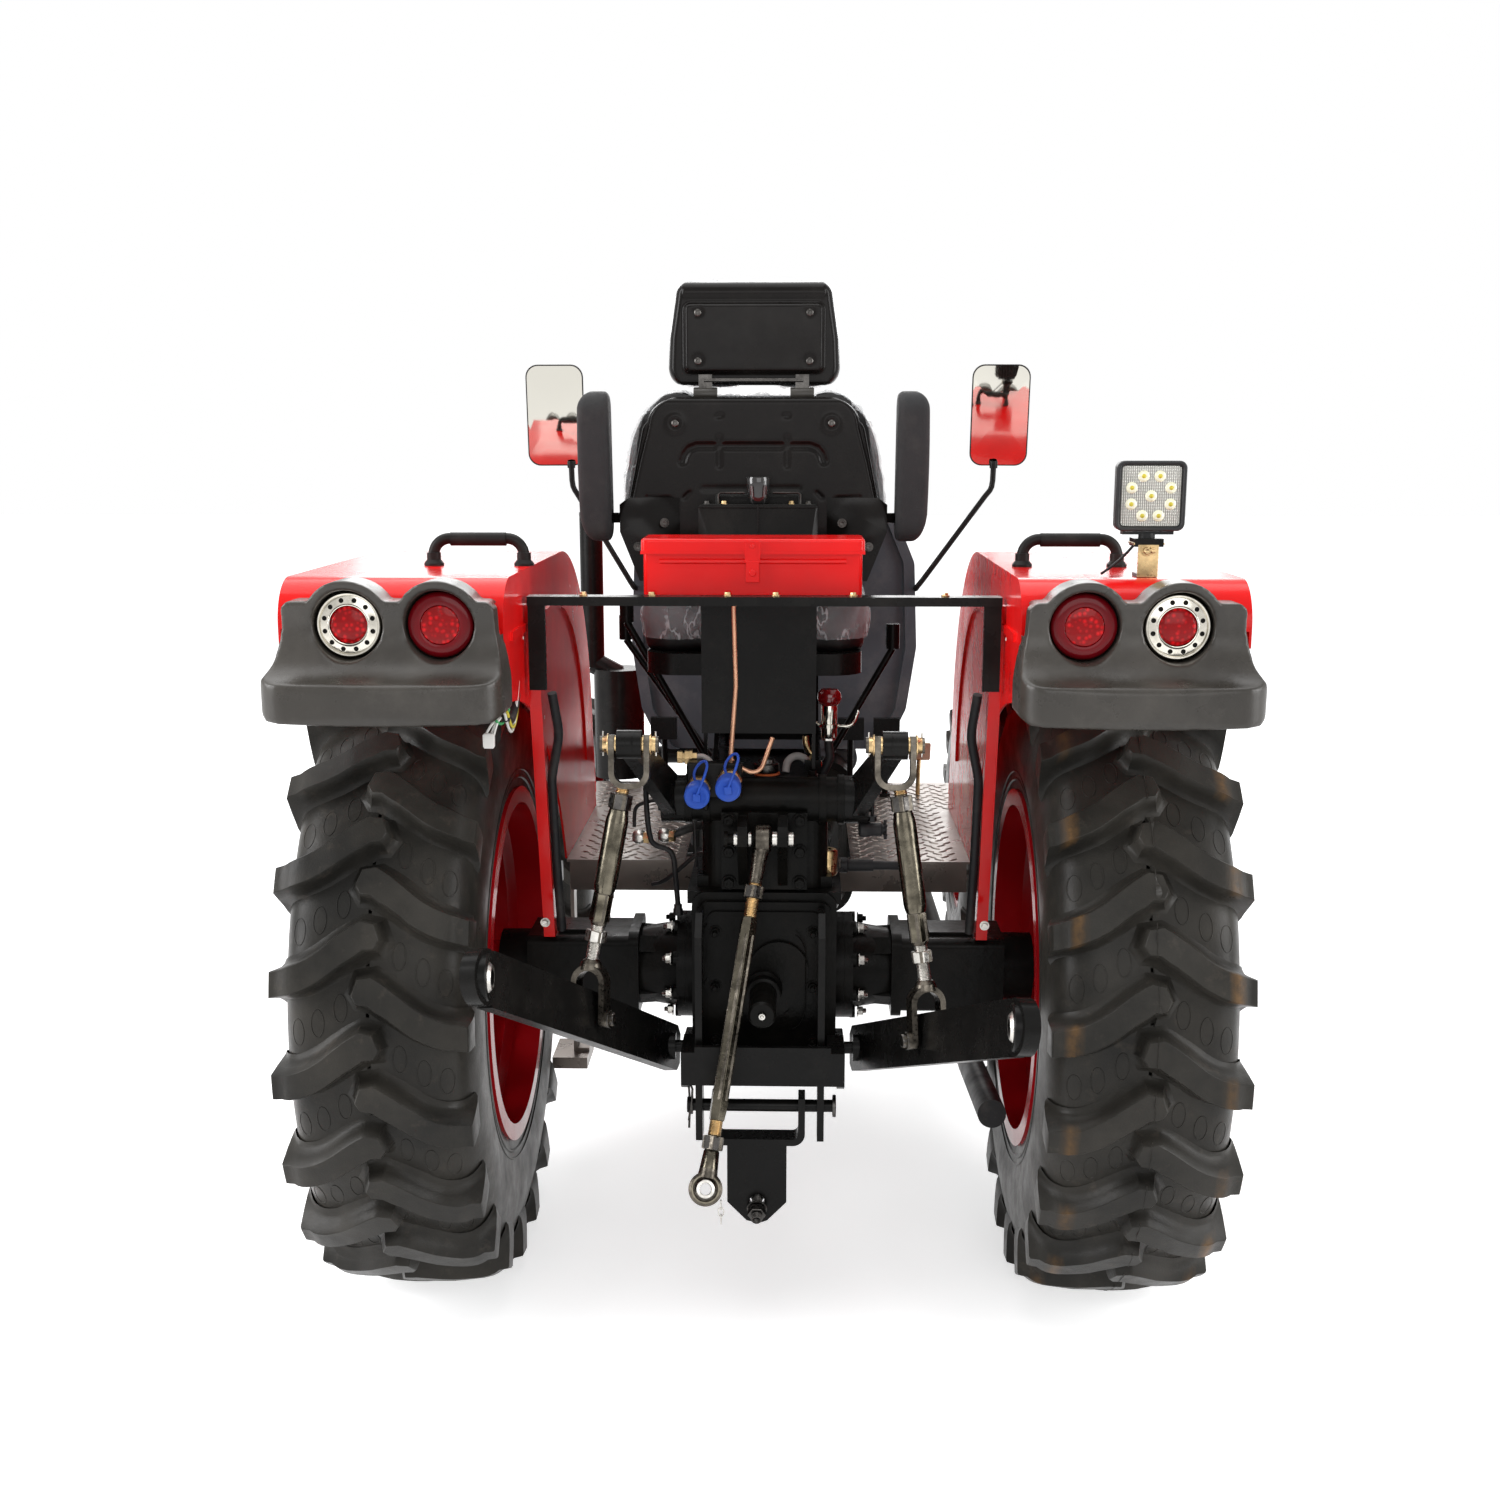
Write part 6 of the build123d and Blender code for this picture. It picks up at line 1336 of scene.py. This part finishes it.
wire.piece("work_light_wire", ["conduit_rubber"], angle=60)

# ---------------------------------------------------------------- chequer plate on the footplates

PLATE_TOP = 720
STUD = ((13, 4.2, 0.05), (11, 2.9, 1.2), (7, 1.0, 1.7))     # half length, half width, height


def on_plate(x, y):
    """True where a footplate lies, away from its edges and the pedals' corner."""
    return x <= (374 if y < 722 else 418) and y <= 1004 and not (y > 925 and x < 214)


studs = Build()
for side, s in SIDES:
    for i in range(32):
        for j in range(16):
            x, y = 178 + 27 * j + (13 if i % 2 else 0), 246 + 24 * i
            if not on_plate(x, y):
                continue
            lean = radians(45 if (i + j) % 2 else -45)
            rings = []
            for reach, wide, high in STUD:
                ring = []
                for k in range(10):
                    t = 2 * pi * k / 10
                    a, b = reach * cos(t), wide * sin(t)
                    ring.append(pt(s * (x + a * cos(lean) - b * sin(lean)), y + a * sin(lean) + b * cos(lean),
                                   PLATE_TOP + high))
                rings.append(ring)
            studs.rings(rings, caps=(False, True))
studs.piece("footplate_studs", ["tread_plate"], angle=60)

# ---------------------------------------------------------------- bar bolts, pedal, wires under the left pod

bits = Build()
for x in (-300, -186, -60, 20, 148, 300, 418):
    bits.bolt(pt(x, -219, 1284.3), UP, 9, 4)
for s in (-1, 1):
    bits.lathe(pt(s * 404, -232.5, 1215), BACK, [(0, 5), (2, 5), (2.6, 4), (2.6, 0)], 16, 1)
    for z in (1068, 700):
        bits.bolt(pt(s * 388, -150, z), BACK, 11, 6, 1)
bits.piece("rear_bar_bolts", ["zinc_gold", "zinc_bright"], angle=35)
pedal = Build()
pedal.tube([pt(340, 876, 720.5), pt(340, 874, 760), pt(341, 868, 806)], 5, 12)
pedal.rings([[pt(342 + x * k, 862 - (z * 0.35) + y, 826 + z * k) for x, z in rounded(25, 22, 5)]
             for k, y in ((0.94, 6), (1, 4), (1, 0), (0.95, -2))], 1, caps=(True, True))
pedal.piece("throttle_pedal", ["zinc_gold", "tan_card"], angle=40)


loom = Build()


def sagging(a, b, drop, radius, mat):
    a, b = pt(*a), pt(*b)
    loom.tube([a.lerp(b, k / 14) + Vector((0, 0, -drop * sin(pi * k / 14) / 1000)) for k in range(15)], radius, 10,
              mat)


sagging((-402, -420, 1112), (-409, -246, 1150), 30, 8, 0)
sagging((-396, -433, 1122), (-404, -262, 1138), 44, 2.2, 2)
sagging((-400, -434, 1120), (-402, -282, 1150), 54, 2.2, 3)
sagging((-414, -438, 1110), (-399, -400, 1122), 14, 2.2, 1)
for x, z in ((-424, 1078), (-431, 1084), (-418, 1081)):
    sagging((-408, -424, 1112), (x, -444, z), -6, 2, 3)
loom.rings([[pt(-424 + a * grow, -446 + b * grow, z) for a, b in rounded(9, 5, 2)]
            for grow, z in ((0.8, 1090), (1, 1088), (1, 1070), (0.8, 1067))], 3, caps=(True, True))
loom.piece("pod_loom", ["conduit_rubber", "wire_green", "wire_yellow", "wire_white"], angle=60)

# ---------------------------------------------------------------- camera, light, floor

cam_data = bpy.data.cameras.new("camera")
cam = linked("camera", cam_data)
scene.camera = cam
cam_data.sensor_width = 36
cam_data.lens = 41.14
cam_data.shift_y = 0.0333
cam.location = (0.055, REAR_Y - 3.067, 1.544)
cam.rotation_euler = (radians(90 - 12), 0, radians(1.57))
cam_data.clip_start = 0.05
cam_data.clip_end = 60

scene.view_settings.view_transform = "Standard"

world = bpy.data.worlds.new("studio")
scene.world = world
world.use_nodes = True
world.node_tree.nodes.clear()
n = Nodes(world)
plain = n.new("ShaderNodeBackground", Color=(1, 1, 1, 1), Strength=1.0)
soft = n.new("ShaderNodeBackground", Color=(0.95, 0.97, 1.0, 1), Strength=0.3)
blend = n.new("ShaderNodeMixShader")
for source, socket in ((n.seen(), 0), (soft.outputs[0], 1), (plain.outputs[0], 2)):
    n.feed(source, blend.inputs[socket])
n.feed(blend.outputs[0], n.new("ShaderNodeOutputWorld").inputs["Surface"])


def area_light(name, place, aim, size, power, color=(1, 1, 1)):
    data = bpy.data.lights.new(name, "AREA")
    data.shape = "RECTANGLE"
    data.size, data.size_y = size
    data.energy = power
    data.color = color
    lamp = linked(name, data)
    lamp.location = place
    lamp.rotation_euler = (Vector(aim) - Vector(place)).to_track_quat("-Z", "Y").to_euler()


area_light("overhead", (-0.6, 0.2, 5.0), (0, -0.2, 0.6), (5.0, 5.0), 200)
area_light("left_window", (-4.6, -2.4, 2.6), (0, -0.6, 0.7), (2.2, 3.2), 230, (0.99, 0.99, 1.0))
area_light("right_window", (4.6, -2.6, 2.3), (0, -0.6, 0.7), (2.2, 3.2), 170)
area_light("behind_camera", (0.6, -6.2, 2.7), (0, -0.8, 0.8), (4.0, 2.4), 60)
area_light("far_side", (0.0, 5.5, 3.2), (0, 0.8, 0.8), (5.0, 2.5), 140)

FLOOR = 30
floor_mesh = mesh_of("floor", [(-FLOOR, -FLOOR, 0), (FLOOR, -FLOOR, 0), (FLOOR, FLOOR, 0), (-FLOOR, FLOOR, 0)],
                     [(0, 1, 2, 3)])
linked("floor", floor_mesh)
floor_mat = bpy.data.materials.new("floor")
floor_mat.use_nodes = True
shader = put(floor_mat.node_tree.nodes["Principled BSDF"], Base_Color=(0.8, 0.8, 0.8, 1), Roughness=0.9,
             Emission_Color=(1, 1, 1, 1))
n = Nodes(floor_mat)
reach = n.new("ShaderNodeVectorMath")
reach.operation = "LENGTH"
n.feed(n.where, reach.inputs[0])
# a little darker round the object, so that its shadow shows
rise = n.remap(reach.outputs["Value"], 1.2, 6.0, 0.64, 1.0, "SMOOTHSTEP")
n.feed(n.math("MULTIPLY", n.seen(), rise), shader.inputs["Emission Strength"])
floor_mesh.materials.append(floor_mat)
